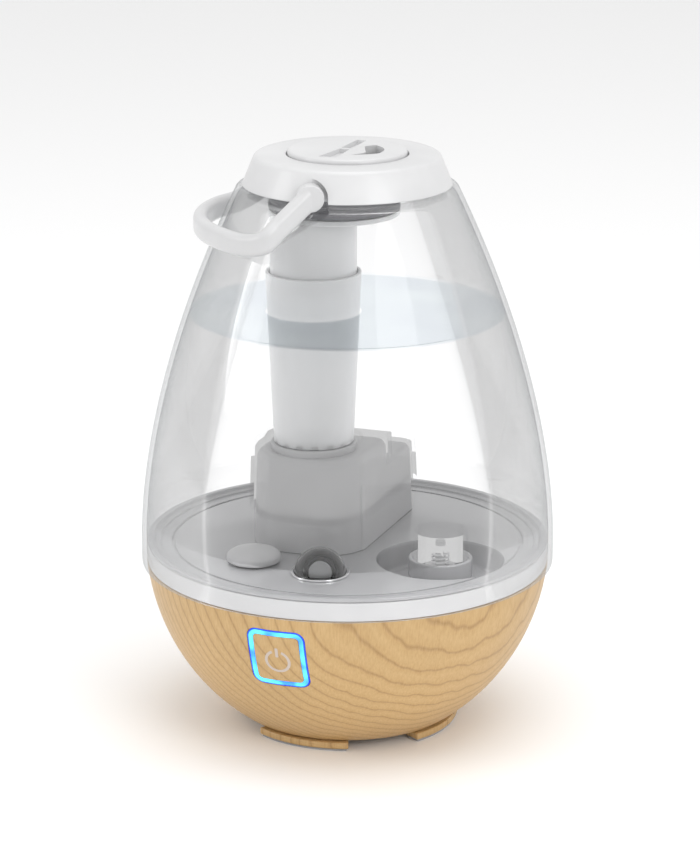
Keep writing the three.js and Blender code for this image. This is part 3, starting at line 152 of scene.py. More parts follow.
def lathe(name, outline, sides=FINE, x=0.0, y=0.0, sharp=35):
    """A closed solid of revolution from an outline that starts and ends on the axis, or closes on itself."""
    points = filleted(outline)
    area = sum(a[0] * b[1] - b[0] * a[1] for a, b in zip(points, points[1:] + points[:1]))
    if area < 0:
        points.reverse()
    corners, rows = [], []
    for r, z in points:
        if r < 1e-6:
            rows.append([len(corners)])
            corners.append((x, y, z))
        else:
            rows.append(list(range(len(corners), len(corners) + sides)))
            for k in range(sides):
                turn = 2 * math.pi * k / sides
                corners.append((x + r * math.sin(turn), y - r * math.cos(turn), z))
    faces = []
    for a, b in zip(rows, rows[1:] + rows[:1]):
        if len(a) == 1 and len(b) == 1:
            continue
        for k in range(sides):
            n = (k + 1) % sides
            if len(a) == 1:
                faces.append((a[0], b[n], b[k]))
            elif len(b) == 1:
                faces.append((a[k], a[n], b[0]))
            else:
                faces.append((a[k], a[n], b[n], b[k]))
    return new_piece(name, corners, faces, sharp)


def loft(name, loops, closed=False, sharp=35):
    """A solid through loops of corners, all with the same count, capped at both ends."""
    count = len(loops[0])
    corners = [c for loop in loops for c in loop]
    faces = []
    pairs = list(zip(range(len(loops)), range(1, len(loops))))
    if closed:
        pairs.append((len(loops) - 1, 0))
    for a, b in pairs:
        for k in range(count):
            n = (k + 1) % count
            faces.append((a * count + k, a * count + n, b * count + n, b * count + k))
    if not closed:
        faces.append(tuple(reversed(range(count))))
        last = (len(loops) - 1) * count
        faces.append(tuple(range(last, last + count)))
    return new_piece(name, corners, faces, sharp)


def rounded_rectangle(left, right, front, back, radii, segments=10):
    """Corners round a rectangle, anticlockwise: front left, front right, back right, back left radii."""
    centres = [
        (left + radii[0], front + radii[0], 180),
        (right - radii[1], front + radii[1], 270),
        (right - radii[2], back - radii[2], 0),
        (left + radii[3], back - radii[3], 90),
    ]
    points = []
    for (cx, cy, start), radius in zip(centres, radii):
        for k in range(segments + 1):
            turn = math.radians(start + 90 * k / segments)
            points.append((cx + radius * math.cos(turn), cy + radius * math.sin(turn)))
    return points


def arc_points(inner, outer, start, end, count=28, drop=0.0):
    """Corners round a stretch of a ring, between two directions in degrees, set lower by a drop."""
    turns = [math.radians(start + (end - start) * k / count) for k in range(count + 1)]
    out = [(outer * math.cos(t), outer * math.sin(t) - drop) for t in turns]
    back = [(inner * math.cos(t), inner * math.sin(t) - drop) for t in reversed(turns)]
    return out + back


def cylinder(name, radius, low, high, sides, x=0.0, y=0.0):
    return lathe(name, [(0, low), (radius, low), (radius, high), (0, high)], sides, x, y)


def prism(name, points, low, high, matrix=None):
    """An outline's corners drawn out from one height to another, and then placed."""
    piece = loft(name, [[(x, y, low) for x, y in points], [(x, y, high) for x, y in points]])
    if matrix is not None:
        piece.data.transform(matrix)
    return piece


def boolean(piece, other, operation):
    """Cuts or joins two closed pieces, and takes the other away."""
    modifier = piece.modifiers.new("cut", "BOOLEAN")
    modifier.operation = operation
    modifier.solver = "EXACT"
    modifier.object = other
    bpy.context.view_layer.update()
    evaluated = piece.evaluated_get(bpy.context.evaluated_depsgraph_get())
    mesh = bpy.data.meshes.new_from_object(evaluated)
    piece.modifiers.clear()
    piece.data = mesh
    bpy.data.objects.remove(other)
    smooth(piece)
    return piece


def cut(piece, *others):
    for other in others:
        boolean(piece, other, "DIFFERENCE")
    return piece


def join(piece, *others):
    for other in others:
        boolean(piece, other, "UNION")
    return piece


def bevelled(piece, width, segments=3, angle=40):
    """Rounds a piece's edges, with the result kept in its mesh."""
    modifier = piece.modifiers.new("edges", "BEVEL")
    modifier.width = width * MM
    modifier.segments = segments
    modifier.limit_method = "ANGLE"
    modifier.angle_limit = math.radians(angle)
    modifier.harden_normals = False
    bpy.context.view_layer.update()
    evaluated = piece.evaluated_get(bpy.context.evaluated_depsgraph_get())
    mesh = bpy.data.meshes.new_from_object(evaluated)
    piece.modifiers.clear()
    piece.data = mesh
    smooth(piece)
    return piece


# ---- Materials ----
class Look:
    """A material's node tree, with short calls to add to it."""

    def __init__(self, name):
        self.material = bpy.data.materials.new(name)
        self.material.use_nodes = True
        self.tree = self.material.node_tree
        self.shader = self.tree.nodes["Principled BSDF"]
        self.output = self.tree.nodes["Material Output"]

    def node(self, kind, **values):
        made = self.tree.nodes.new(kind)
        for key, value in values.items():
            if hasattr(made, key):
                setattr(made, key, value)
            else:
                made.inputs[key].default_value = value
        return made

    def link(self, source, target):
        self.tree.links.new(source, target)

    def place(self, scale=(1, 1, 1)):
        """Object coordinates in millimetres, stretched by a scale."""
        coordinates = self.node("ShaderNodeTexCoord")
        mapping = self.node("ShaderNodeMapping")
        mapping.inputs["Scale"].default_value = [1000 * s for s in scale]
        self.link(coordinates.outputs["Object"], mapping.inputs["Vector"])
        return mapping.outputs["Vector"]

    def noise(self, place, size, detail=3.0, roughness=0.5):
        """Noise with features of a size in millimetres."""
        made = self.node("ShaderNodeTexNoise", Detail=detail, Roughness=roughness)
        made.inputs["Scale"].default_value = 1.0 / size
        self.link(place, made.inputs["Vector"])
        return made.outputs["Fac"]

    def ramp(self, factor, *stops):
        """A colour ramp from (position, colour) stops."""
        made = self.node("ShaderNodeValToRGB")
        ramp = made.color_ramp
        while len(ramp.elements) < len(stops):
            ramp.elements.new(0.5)
        for element, (position, colour) in zip(ramp.elements, stops):
            element.position = position
            element.color = (*colour, 1)
        self.link(factor, made.inputs["Fac"])
        return made.outputs["Color"]

    def math(self, operation, first, second=0.0):
        made = self.node("ShaderNodeMath", operation=operation)
        for socket, value in zip(made.inputs, (first, second)):
            if isinstance(value, (int, float)):
                socket.default_value = value
            else:
                self.link(value, socket)
        return made.outputs[0]

    def mix(self, factor, first, second, blend="MIX"):
        made = self.node("ShaderNodeMix", data_type="RGBA", blend_type=blend)
        sockets = [made.inputs[0], made.inputs[6], made.inputs[7]]
        for socket, value in zip(sockets, (factor, first, second)):
            if isinstance(value, (int, float)):
                socket.default_value = value
            elif isinstance(value, tuple):
                socket.default_value = (*value, 1)
            else:
                self.link(value, socket)
        return made.outputs[2]

    def bump(self, height, strength, distance=0.1):
        made = self.node("ShaderNodeBump", Strength=strength)
        made.inputs["Distance"].default_value = distance * MM
        self.link(height, made.inputs["Height"])
        self.link(made.outputs["Normal"], self.shader.inputs["Normal"])


def tint(colour, factor):
    return tuple(min(1.0, c * factor) for c in colour)


def plastic(name, colour, roughness=0.35, grain=1.2, strength=0.12, coat=0.0, shade=0.05, metal=0.0):
    """Moulded plastic or metal: a fine skin, faint unevenness in its colour, and uneven gloss."""
    look = Look(name)
    place = look.place()
    broad = look.noise(place, 38)
    fine = look.noise(place, grain, detail=2)
    low, high = tint(colour, 1 - shade), tint(colour, 1 + shade)
    look.link(look.ramp(broad, (0.3, low), (0.7, high)), look.shader.inputs["Base Color"])
    uneven = look.ramp(fine, (0.2, (roughness * 0.88,) * 3), (0.8, (roughness * 1.12,) * 3))
    look.link(uneven, look.shader.inputs["Roughness"])
    look.shader.inputs["Coat Weight"].default_value = coat
    look.shader.inputs["Coat Roughness"].default_value = 0.06
    look.shader.inputs["Metallic"].default_value = metal
    look.bump(fine, strength, 0.04)
    return look.material


def wood(name):
    """Printed light oak: growth rings round a pith behind the bowl, so that they arch on its right front."""
    look = Look(name)
    place = look.place()
    wander = look.noise(look.place((1, 1, 0.45)), 34, detail=2, roughness=0.45)
    split = look.node("ShaderNodeSeparateXYZ")
    look.link(place, split.inputs["Vector"])
    shift = look.math("MULTIPLY", look.math("SUBTRACT", wander, 0.5), 15.0)
    lean = look.math("MULTIPLY", split.outputs["Z"], 0.10)
    x = look.math("ADD", look.math("ADD", split.outputs["X"], 78.0), shift)
    y = look.math("SUBTRACT", look.math("SUBTRACT", split.outputs["Y"], 44.0), lean)
    square = look.math("ADD", look.math("MULTIPLY", x, x), look.math("MULTIPLY", y, y))
    distance = look.math("POWER", square, 0.5)
    uneven = look.math("MULTIPLY", look.noise(look.place((1, 1, 0.2)), 7, detail=1), 1.6)
    rings = look.math("FRACT", look.math("DIVIDE", look.math("ADD", distance, uneven), 4.3))
    light, dark = (0.58, 0.385, 0.175), (0.33, 0.19, 0.07)
    mellow = (0.53, 0.34, 0.145)
    ringed = look.ramp(
        rings, (0.0, mellow), (0.45, light), (0.78, mellow), (0.90, dark), (1.0, mellow)
    )
    fibre = look.noise(look.place((1, 1, 0.04)), 0.8, detail=3, roughness=0.65)
    fibred = look.mix(0.34, ringed, look.ramp(fibre, (0.35, (0.50, 0.30, 0.11)), (0.65, (0.70, 0.48, 0.23))))
    broad = look.noise(place, 60, detail=1)
    shaded = look.mix(1.0, fibred, look.ramp(broad, (0.3, (0.90,) * 3), (0.7, (1.0,) * 3)), "MULTIPLY")
    look.link(shaded, look.shader.inputs["Base Color"])
    rough = look.ramp(fibre, (0.3, (0.50,) * 3), (0.7, (0.40,) * 3))
    look.link(rough, look.shader.inputs["Roughness"])
    look.shader.inputs["Coat Weight"].default_value = 0.08
    look.shader.inputs["Coat Roughness"].default_value = 0.25
    look.bump(fibre, 0.18, 0.05)
    return look.material


def clear(name, face=(0.998, 0.998, 0.999), edge=(0.72, 0.73, 0.74), gloss=0.45, power=5.0):
    """Thin clear plastic: what is behind shows through, greyed at grazing angles by a painted reflection,
    under a polished skin.
    """
    look = Look(name)
    look.tree.nodes.remove(look.shader)
    place = look.place()
    through = look.node("ShaderNodeBsdfTransparent")
    mirror = look.node("ShaderNodeBsdfGlossy", Roughness=0.04)
    facing = look.node("ShaderNodeLayerWeight", Blend=0.5)
    steep = look.math("POWER", facing.outputs["Facing"], power)
    uneven = look.noise(place, 55, detail=1)
    # Painted reflection: the see-through colour turns grey at grazing angles, standing in for the dark edges
    # that the clear wall reflects.
    painted_reflection_grey = look.ramp(uneven, (0.3, tint(edge, 0.94)), (0.7, tint(edge, 1.05)))
    look.link(look.mix(steep, face, painted_reflection_grey), through.inputs["Color"])
    fresnel = look.node("ShaderNodeFresnel", IOR=1.38)
    share = look.math("MULTIPLY", fresnel.outputs["Fac"], gloss)
    rays = look.node("ShaderNodeLightPath")
    soft = look.math("MAXIMUM", rays.outputs["Is Shadow Ray"], rays.outputs["Is Diffuse Ray"])
    share = look.math("MULTIPLY", share, look.math("SUBTRACT", 1.0, soft))
    mixed = look.node("ShaderNodeMixShader")
    look.link(share, mixed.inputs[0])
    look.link(through.outputs[0], mixed.inputs[1])
    look.link(mirror.outputs[0], mixed.inputs[2])
    # Painted light: past DEEPEST_LAYER clear layers the surface glows pale instead of letting light through.
    pale = look.node("ShaderNodeEmission", Strength=0.62)
    deep = look.node("ShaderNodeMixShader")
    look.link(look.math("GREATER_THAN", rays.outputs["Transparent Depth"], DEEPEST_LAYER), deep.inputs[0])
    look.link(mixed.outputs[0], deep.inputs[1])
    look.link(pale.outputs[0], deep.inputs[2])
    look.link(deep.outputs[0], look.output.inputs["Surface"])
    return look.material


def frosted(name, colour, open_share, roughness=0.35):
    """Milky plastic that lets part of what is behind show through."""
    look = Look(name)
    place = look.place()
    broad = look.noise(look.place((1, 1, 0.3)), 26)
    shades = look.ramp(broad, (0.3, tint(colour, 0.95)), (0.7, tint(colour, 1.03)))
    look.link(shades, look.shader.inputs["Base Color"])
    look.shader.inputs["Roughness"].default_value = roughness
    look.bump(look.noise(place, 0.7, detail=2), 0.1, 0.03)
    through = look.node("ShaderNodeBsdfTransparent")
    facing = look.node("ShaderNodeLayerWeight", Blend=0.4)
    open_here = look.math("MULTIPLY", look.math("SUBTRACT", 1.0, facing.outputs["Facing"]), open_share)
    mixed = look.node("ShaderNodeMixShader")
    look.link(open_here, mixed.inputs[0])
    look.link(look.shader.outputs[0], mixed.inputs[1])
    look.link(through.outputs[0], mixed.inputs[2])
    look.link(mixed.outputs[0], look.output.inputs["Surface"])
    return look.material


def glowing(name, dim, bright, strength):
    """A lit light pipe, brighter in some stretches than in others."""
    look = Look(name)
    place = look.place()
    patches = look.noise(place, 11, detail=1)
    colours = look.ramp(patches, (0.38, dim), (0.60, bright))
    look.link(colours, look.shader.inputs["Base Color"])
    look.link(colours, look.shader.inputs["Emission Color"])
    look.shader.inputs["Emission Strength"].default_value = strength
    look.shader.inputs["Roughness"].default_value = 0.25
    look.bump(look.noise(place, 1.5), 0.05, 0.03)
    return look.material


def edge_dark_lens(name):
    """A clear lens whose thick edge is painted black as painted shade, with a painted sheen that lightens
    that edge at grazing angles, and whose middle shows its core.
    """
    look = Look(name)
    through = look.node("ShaderNodeBsdfTransparent")
    facing = look.node("ShaderNodeLayerWeight", Blend=0.5)
    uneven = look.math("MULTIPLY", look.noise(look.place(), 6, detail=1), 0.03)
    edge = look.math("ADD", facing.outputs["Facing"], uneven)
    # Painted shade: the edge turns black by how steeply it is seen, standing in for the shade in a thick
    # clear edge.
    dark = look.ramp(edge, (0.205, (0.0,) * 3), (0.225, (1.0,) * 3))
    # Painted sheen: the black edge grows lighter towards grazing angles.
    painted_sheen = look.ramp(edge, (0.22, (0.015,) * 3), (0.60, (0.10,) * 3))
    look.link(painted_sheen, look.shader.inputs["Base Color"])
    look.shader.inputs["Roughness"].default_value = 0.06
    look.shader.inputs["Coat Weight"].default_value = 0.6
    rays = look.node("ShaderNodeLightPath")
    lit = look.math("SUBTRACT", 1.0, rays.outputs["Is Shadow Ray"])
    mixed = look.node("ShaderNodeMixShader")
    look.link(look.math("MULTIPLY", dark, lit), mixed.inputs[0])
    look.link(through.outputs[0], mixed.inputs[1])
    look.link(look.shader.outputs[0], mixed.inputs[2])
    look.link(mixed.outputs[0], look.output.inputs["Surface"])
    return look.material


def circuit(name):
    """A circuit board's green mask over its tracks."""
    look = Look(name)
    tracks = look.node("ShaderNodeTexBrick", Scale=1.0)
    look.link(look.place(), tracks.inputs["Vector"])
    tracks.inputs["Color1"].default_value = (0.020, 0.17, 0.065, 1)
    tracks.inputs["Color2"].default_value = (0.016, 0.13, 0.05, 1)
    tracks.inputs["Mortar"].default_value = (0.05, 0.30, 0.12, 1)
    tracks.inputs["Brick Width"].default_value = 5.0
    tracks.inputs["Row Height"].default_value = 2.0
    tracks.inputs["Mortar Size"].default_value = 0.25
    look.link(tracks.outputs["Color"], look.shader.inputs["Base Color"])
    look.shader.inputs["Roughness"].default_value = 0.4
    look.bump(tracks.outputs["Fac"], 0.3, 0.05)
    return look.material


WOOD = wood("printed_oak")
WHITE = plastic("white_plastic", (0.64, 0.64, 0.645), 0.32, coat=0.15)
HANDLE = plastic("handle_plastic", (0.60, 0.60, 0.605), 0.30, coat=0.2)
GREY = plastic("grey_tray", (0.44, 0.44, 0.45), 0.16, coat=0.4)
SOFT = plastic("soft_grey", (0.34, 0.34, 0.35), 0.75, grain=0.8, strength=0.3)
SEAL = plastic("dark_seal", (0.16, 0.16, 0.17), 0.45)
BLACK = plastic("black_plastic", (0.022, 0.022, 0.024), 0.45, strength=0.3)
LENS = edge_dark_lens("lens_painted_dark_edge")
CORE = plastic("lens_core", (0.80, 0.81, 0.82), 0.12, strength=0.05, coat=0.6)
STEEL = plastic("steel", (0.56, 0.57, 0.58), 0.28, metal=1.0)
PALE_STEEL = plastic("spring_steel", (0.74, 0.74, 0.75), 0.45)
CHROME = plastic("chrome", (0.80, 0.80, 0.81), 0.08, strength=0.02, metal=1.0)
BOARD = circuit("circuit_board")
CLEAR = clear("clear_tank")
INNER_CLEAR = clear("clear_floor", (0.999, 0.999, 0.999), (0.97, 0.972, 0.975), 0.08, 5.0)
WATER = clear("water", (0.99, 0.995, 1.0), (0.90, 0.94, 0.98), 0.18, 2.0)
FROSTED = frosted("frosted_tube", (0.76, 0.765, 0.77), 0.50)
GLOW = glowing("lit_ring", (0.03, 0.22, 1.0), (0.08, 0.60, 1.0), 1.15)
GLOW_EDGE = glowing("lit_ring_edge", (0.01, 0.04, 0.62), (0.02, 0.10, 0.80), 0.5)
ICON = plastic("icon_print", (0.56, 0.48, 0.42), 0.4)


def finish_piece(piece, body, material, slot, *replaced):
    """Gives a piece its material and its body, and hides the nodes that it stands for; its slot is not used.
    """
    piece.data.materials.clear()
    piece.data.materials.append(material)
    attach(piece, body)
    if replaced:
        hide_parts(*replaced)
    return piece


# ---- Bowl and feet ----
def bowl_side(low, high, count, inset=0.0):
    return [(bowl_radius(z, inset), z) for z in steps(low, high, count)]


BOTTOM_RADIUS = bowl_radius(BOWL_BOTTOM)
BOTTOM_OPENING = BOTTOM_RADIUS - 9
FLOOR = BOWL_BOTTOM + 4.5
BUTTON_Z = BOWL_RIM - 22.5
BUTTON_RADIUS = bowl_radius(BUTTON_Z)
BUTTON_FALL = math.atan((SKIRT - BUTTON_Z) / BOWL_DEPTH**2 * BOWL_RADIUS**2 / BUTTON_RADIUS)
ON_FRONT = (
    Matrix.Translation(Vector((0, -BUTTON_RADIUS, BUTTON_Z)) * MM)
    @ Matrix.Rotation(math.pi / 2 + BUTTON_FALL, 4, "X")
)
FRAME_WIDTH, FRAME_HEIGHT, FRAME_CORNER, FRAME_BAND = 29, 32.4, 5, 2.6


def front_prism(name, inset, deep, proud=4.0):
    """A block of the button frame's outline, less an inset, set into the bowl's front."""
    half_width, half_height = FRAME_WIDTH / 2 - inset, FRAME_HEIGHT / 2 - inset
    corner = max(FRAME_CORNER - inset, 1.0)
    points = rounded_rectangle(-half_width, half_width, -half_height, half_height, [corner] * 4)
    return prism(name, points, -deep, proud, ON_FRONT)


def bowl_blank(name, proud=0.0):
    """The bowl's outer form as one full solid, grown by a little."""
    side = bowl_side(BOWL_BOTTOM, BOWL_RIM, 60, -proud)
    return lathe(name, [(0, BOWL_BOTTOM), *side, (0, BOWL_RIM)], 256)


outer = bowl_side(BOWL_BOTTOM + 1.2, BOWL_RIM - 0.6, 60)
inner = bowl_side(FLOOR, BOWL_RIM, 30, 3)
bowl = lathe(
    "wood_bowl",
    [
        (BOTTOM_OPENING, BOWL_BOTTOM),
        (BOTTOM_RADIUS, BOWL_BOTTOM, 1.6),
        *outer,
        (bowl_radius(BOWL_RIM) - 0.1, BOWL_RIM - 0.15),
        (bowl_radius(BOWL_RIM) - 0.6, BOWL_RIM),
        *reversed(inner),
        (BOTTOM_OPENING - 10, FLOOR),
        (BOTTOM_OPENING - 10, FLOOR - 3),
        (BOTTOM_OPENING, BOWL_BOTTOM + 1.5),
    ],
    256,
)
inlet_low, inlet_high = span("power_inlet")
INLET_Z = (inlet_low.z + inlet_high.z) / 2
INLET_BORE = 6.3
INLET_REACH = 110
inlet_hole = cylinder("inlet_hole", INLET_BORE, 0, 60, ROUND)
inlet_hole.data.transform(
    Matrix.Translation(Vector((0, INLET_REACH, INLET_Z)) * MM) @ Matrix.Rotation(math.pi / 2, 4, "X")
)
cut(bowl, front_prism("frame_hole", -0.3, 14, 6), inlet_hole)
SCREW_BORE = 1.8
for i in range(4):
    turn = math.radians(45 + 90 * i)
    reach = BOTTOM_OPENING - 5
    cut(bowl, cylinder("hole", SCREW_BORE, 0, 12, 32, reach * math.sin(turn), -reach * math.cos(turn)))
finish_piece(bowl, "base", WOOD, "wood_look", "base_shell")

rim_band = boolean(front_prism("light_ring_edge", 0, 8), bowl_blank("blank"), "INTERSECT")
cut(rim_band, front_prism("inside", 0.65, 9, 6))
finish_piece(rim_band, "base", GLOW_EDGE, "lit_ring")
light_band = boolean(front_prism("light_ring_band", 0.65, 8), bowl_blank("blank", 0.12), "INTERSECT")
cut(light_band, front_prism("inside", FRAME_BAND, 9, 6))
bevelled(light_band, 0.3)
finish_piece(light_band, "base", GLOW, "lit_ring", "light_ring")

button = boolean(front_prism("button_face", FRAME_BAND + 0.4, 3.5), bowl_blank("blank"), "INTERSECT")
bevelled(button, 0.35)
stem = lathe("button_stem", [(0, -5.1), (3, -5.1, 0.4), (3, -2.6), (0, -2.6)], ROUND)
stem.data.transform(ON_FRONT)
join(button, stem)
finish_piece(button, "button", WOOD, "button_face", "power_button")


ICON_GAP = 24  # degrees on each side of the bar
ICON_DROP = 0.9
icon_arc = arc_points(5.1, 6.5, 90 + ICON_GAP, 450 - ICON_GAP, 40, ICON_DROP)
arc = prism("power_icon_ring", icon_arc, -1.6, 3, ON_FRONT)
boolean(arc, bowl_blank("blank", 0.09), "INTERSECT")
finish_piece(arc, "button", ICON, "button_face")
bar_points = rounded_rectangle(-0.75, 0.75, 1.6, 6.8, [0.4] * 4, 4)
bar = prism("power_icon_bar", bar_points, -1.6, 3, ON_FRONT)
boolean(bar, bowl_blank("blank", 0.09), "INTERSECT")
finish_piece(bar, "button", ICON, "button_face")


FOOT_OUTER = BOTTOM_RADIUS + 2.5
FOOT_WIDTH = 9.5
FOOT_HALF_SPAN = 26  # degrees
for i in range(4):
    facing = -95 + 90 * i
    foot_low, foot_high = span(f"foot_{i + 1}")
    foot = prism(
        f"foot_block_{i + 1}",
        arc_points(FOOT_OUTER - FOOT_WIDTH, FOOT_OUTER, facing - FOOT_HALF_SPAN, facing + FOOT_HALF_SPAN),
        foot_low.z,
        foot_high.z,
    )
    finish_piece(bevelled(foot, 0.7), "base", WOOD, "wood_look", f"foot_{i + 1}")
    pad_low, pad_high = span(f"foot_pad_{i + 1}")
    pad = prism(
        f"foot_sole_{i + 1}",
        arc_points(FOOT_OUTER - 8.5, FOOT_OUTER - 1, facing - 25, facing + 25),
        pad_low.z,
        pad_high.z,
    )
    finish_piece(bevelled(pad, 0.3), "base", SOFT, "soft_grey", f"foot_pad_{i + 1}")

# ---- Trim ring and tray ----
ring = lathe(
    "trim_ring",
    [
        (RING_HIGH.x - 2.8, RING_LOW.z, 0.3),
        (RING_HIGH.x, RING_LOW.z, 0.6),
        (RING_HIGH.x, RING_HIGH.z, 0.9),
        (RING_HIGH.x - 2.8, RING_HIGH.z, 0.5),
    ],
)
finish_piece(ring, "base", WHITE, "white_plastic", "base_ring")

GROOVE = TRAY_EDGE - 9.7
UNDER = DECK - 2.4
LIP = RING_HIGH.z + 0.3
LIP_THICK = 1.8
tray = lathe(
    "tray_deck",
    [
        (0, UNDER),
        (TRAY_EDGE, UNDER),
        (TRAY_EDGE, LIP),
        (RING_HIGH.x, LIP, 0.3),
        (RING_HIGH.x, LIP + LIP_THICK, 0.8),
        (TRAY_EDGE, LIP + LIP_THICK, 0.6),
        (TRAY_EDGE - 1, DECK + 1, 0.5),
        (TRAY_EDGE - 3.4, DECK + 1, 0.5),
        (TRAY_EDGE - 3.6, DECK, 0.4),
        (GROOVE + 0.8, DECK, 0.3),
        (GROOVE + 0.7, DECK - 1.1, 0.3),
        (GROOVE - 0.7, DECK - 1.1, 0.3),
        (GROOVE - 0.8, DECK, 0.3),
        (0, DECK),
    ],
)
WELL_RADIUS = 31
WELL_FLOOR = DECK - 12.5
CHAMBER_FLOOR = UNDER - 19.6
port_low, port_high = span("fan_duct")
FAN_X, FAN_Y = (port_low.x + port_high.x) / 2, (port_low.y + port_high.y) / 2
RISER_WIDE, RISER_DEEP = 12, 10  # half of each side of the air riser
ABOVE_TRAY = 200


def pot_outline(radius, low, fillet):
    """The outline of a round pot under the deck."""
    return [(0, low), (radius, low, fillet), (radius, UNDER + 1), (0, UNDER + 1)]


def riser_points(half_wide, half_deep, corner):
    sides = (FAN_X - half_wide, FAN_X + half_wide, FAN_Y - half_deep, FAN_Y + half_deep)
    return rounded_rectangle(*sides, [corner] * 4)


join(
    tray,
    lathe("well", pot_outline(33, WELL_FLOOR - 2, 2), 128, WELL_X, WELL_Y),
    lathe("chamber", pot_outline(19, CHAMBER_FLOOR, 1), 96, TUBE_X, TUBE_Y),
    prism("riser", riser_points(RISER_WIDE, RISER_DEEP, 2.5), UNDER, DECK + 12),
)
well_bore = [
    (0, WELL_FLOOR),
    (WELL_RADIUS - 1, WELL_FLOOR, 2),
    (WELL_RADIUS, DECK - 1.2, 0.5),
    (WELL_RADIUS + 1.3, DECK + 3),
    (0, DECK + 3),
]
chamber_bore = [(0, CHAMBER_FLOOR + 2.4), (17, CHAMBER_FLOOR + 2.4, 2), (17, ABOVE_TRAY), (0, ABOVE_TRAY)]
cut(
    tray,
    lathe("bore", well_bore, 128, WELL_X, WELL_Y),
    lathe("bore", chamber_bore, 96, TUBE_X, TUBE_Y),
    cylinder("bore", 7, 0, ABOVE_TRAY, 64, TUBE_X, TUBE_Y),
    prism("bore", riser_points(RISER_WIDE - 2, RISER_DEEP - 2, 1.5), 0, ABOVE_TRAY),
)
push_post = [(0, WELL_FLOOR - 1), (3, WELL_FLOOR - 1), (3, DECK - 10.7, 0.6), (0, DECK - 10.7)]
join(tray, lathe("post", push_post, 48, WELL_X, WELL_Y))
finish_piece(tray, "base", GREY, "grey_tray", "water_tray")

# ---- Mist tower ----
house_high = span("mist_housing")[1]
TOWER = (-43.8, 14.5, -32.3, 25)
TOWER_TOP = DECK + 47.5
DUCT_TOP = DECK + 35
MIDDLE_X, MIDDLE_Y = (TOWER[0] + TOWER[1]) / 2, (TOWER[2] + TOWER[3]) / 2


def tower_loop(left, right, front, back, radii, z, inset, segments=12):
    """One level of the tower's outline, drawn in towards its middle as it rises."""
    scale = 1 - 0.045 * (z - DECK) / 47.5
    shrunk = [max(r - inset, 0.6) for r in radii]
    points = rounded_rectangle(left + inset, right - inset, front + inset, back - inset, shrunk, segments)
    return [(MIDDLE_X + (x - MIDDLE_X) * scale, MIDDLE_Y + (y - MIDDLE_Y) * scale, z) for x, y in points]


def tower_block(name, outline, radii, low, top, margin, fillet):
    """A block of the tower with a rounded top edge."""
    loops = [tower_loop(*outline, radii, z, margin) for z in steps(low, top - fillet, 6)]
    for k in range(1, 9):
        lean = math.pi / 2 * k / 8
        inset = margin + fillet * (1 - math.cos(lean))
        loops.append(tower_loop(*outline, radii, top - fillet + fillet * math.sin(lean), inset))
    return loft(name, loops)


HOUSE_FLOOR = DECK + 0.3
DUCT = (-24, 14.5, -16.15, 61.7)
tower = tower_block("mist_tower", TOWER, [22.5, 22.5, 6, 6], HOUSE_FLOOR, TOWER_TOP, 0, 4.5)
join(tower, tower_block("duct", DUCT, [1, 1, 7, 7], HOUSE_FLOOR, DUCT_TOP, 0, 3))
cut(
    tower,
    tower_block("hollow", TOWER, [22.5, 22.5, 6, 6], HOUSE_FLOOR - 1, TOWER_TOP - 2, 2, 3),
    tower_block("hollow", DUCT, [1, 1, 7, 7], HOUSE_FLOOR - 1, DUCT_TOP - 2, 2, 2),
    lathe("bore", [(0, TOWER_TOP - 10), (18, TOWER_TOP - 10), (18, 200), (0, 200)], 96, TUBE_X, TUBE_Y),
)
collar = [(18, TOWER_TOP - 1), (21.2, TOWER_TOP - 1), (21.2, house_high.z, 0.8), (18, house_high.z, 0.8)]
join(tower, lathe("collar", collar, 96, TUBE_X, TUBE_Y))
finish_piece(tower, "base", WHITE, "white_plastic", "mist_housing")

# ---- Float, dome and valve ----
float_x, float_y = middle("float")
float_low, float_high = span("float")
post_high = span("float_post")[1]
crown = [
    (13.2 * math.cos(t), float_low.z + 2.4 + 4.6 * math.sin(t))
    for t in (math.pi / 2 * k / 16 for k in range(16))
]
float_piece = lathe(
    "float_disc",
    [(2.9, float_low.z), (12.6, float_low.z, 0.6), (13.2, float_low.z + 1, 0.4), *crown,
     (0, float_high.z), (0, post_high.z + 0.4), (2.9, post_high.z + 0.4, 0.4)],
    96, float_x, float_y,
)
finish_piece(float_piece, "float", WHITE, "white_plastic", "float")

dome_x, dome_y = middle("light_dome")
dome_low = span("light_dome")[0]


def half_ball(radius, low, count):
    """A dome's outline, from its edge to just short of its top."""
    leans = [math.pi / 2 * k / count for k in range(count)]
    return [(radius * math.cos(t), low + radius * math.sin(t)) for t in leans]


DOME_RADIUS, CAVITY_RADIUS = 12.6, 9.4
dome_shell = lathe(
    "dome_shell",
    [(CAVITY_RADIUS, dome_low.z), *half_ball(DOME_RADIUS, dome_low.z, 32), (0, dome_low.z + DOME_RADIUS),
     (0, dome_low.z + CAVITY_RADIUS), *reversed(half_ball(CAVITY_RADIUS, dome_low.z, 24)[1:])],
    96, dome_x, dome_y,
)
finish_piece(dome_shell, "base", LENS, "lens_black", "light_dome")
core_side = [(8.6 * r / 9.1, z) for r, z in half_ball(9.1, dome_low.z, 24)]
core = lathe("dome_lens", [(0, dome_low.z), *core_side, (0, dome_low.z + 9.1)], 96, dome_x, dome_y)
finish_piece(core, "base", CORE, "lens_core", "light_core")
trim_low, trim_high = span("light_dome_ring")
trim = [(12.9, trim_low.z), (14.4, trim_low.z), (14.4, trim_high.z, 0.4), (12.9, trim_high.z, 0.4)]
finish_piece(lathe("dome_trim", trim, 96, dome_x, dome_y), "base", CHROME, "chrome_trim", "light_dome_ring")

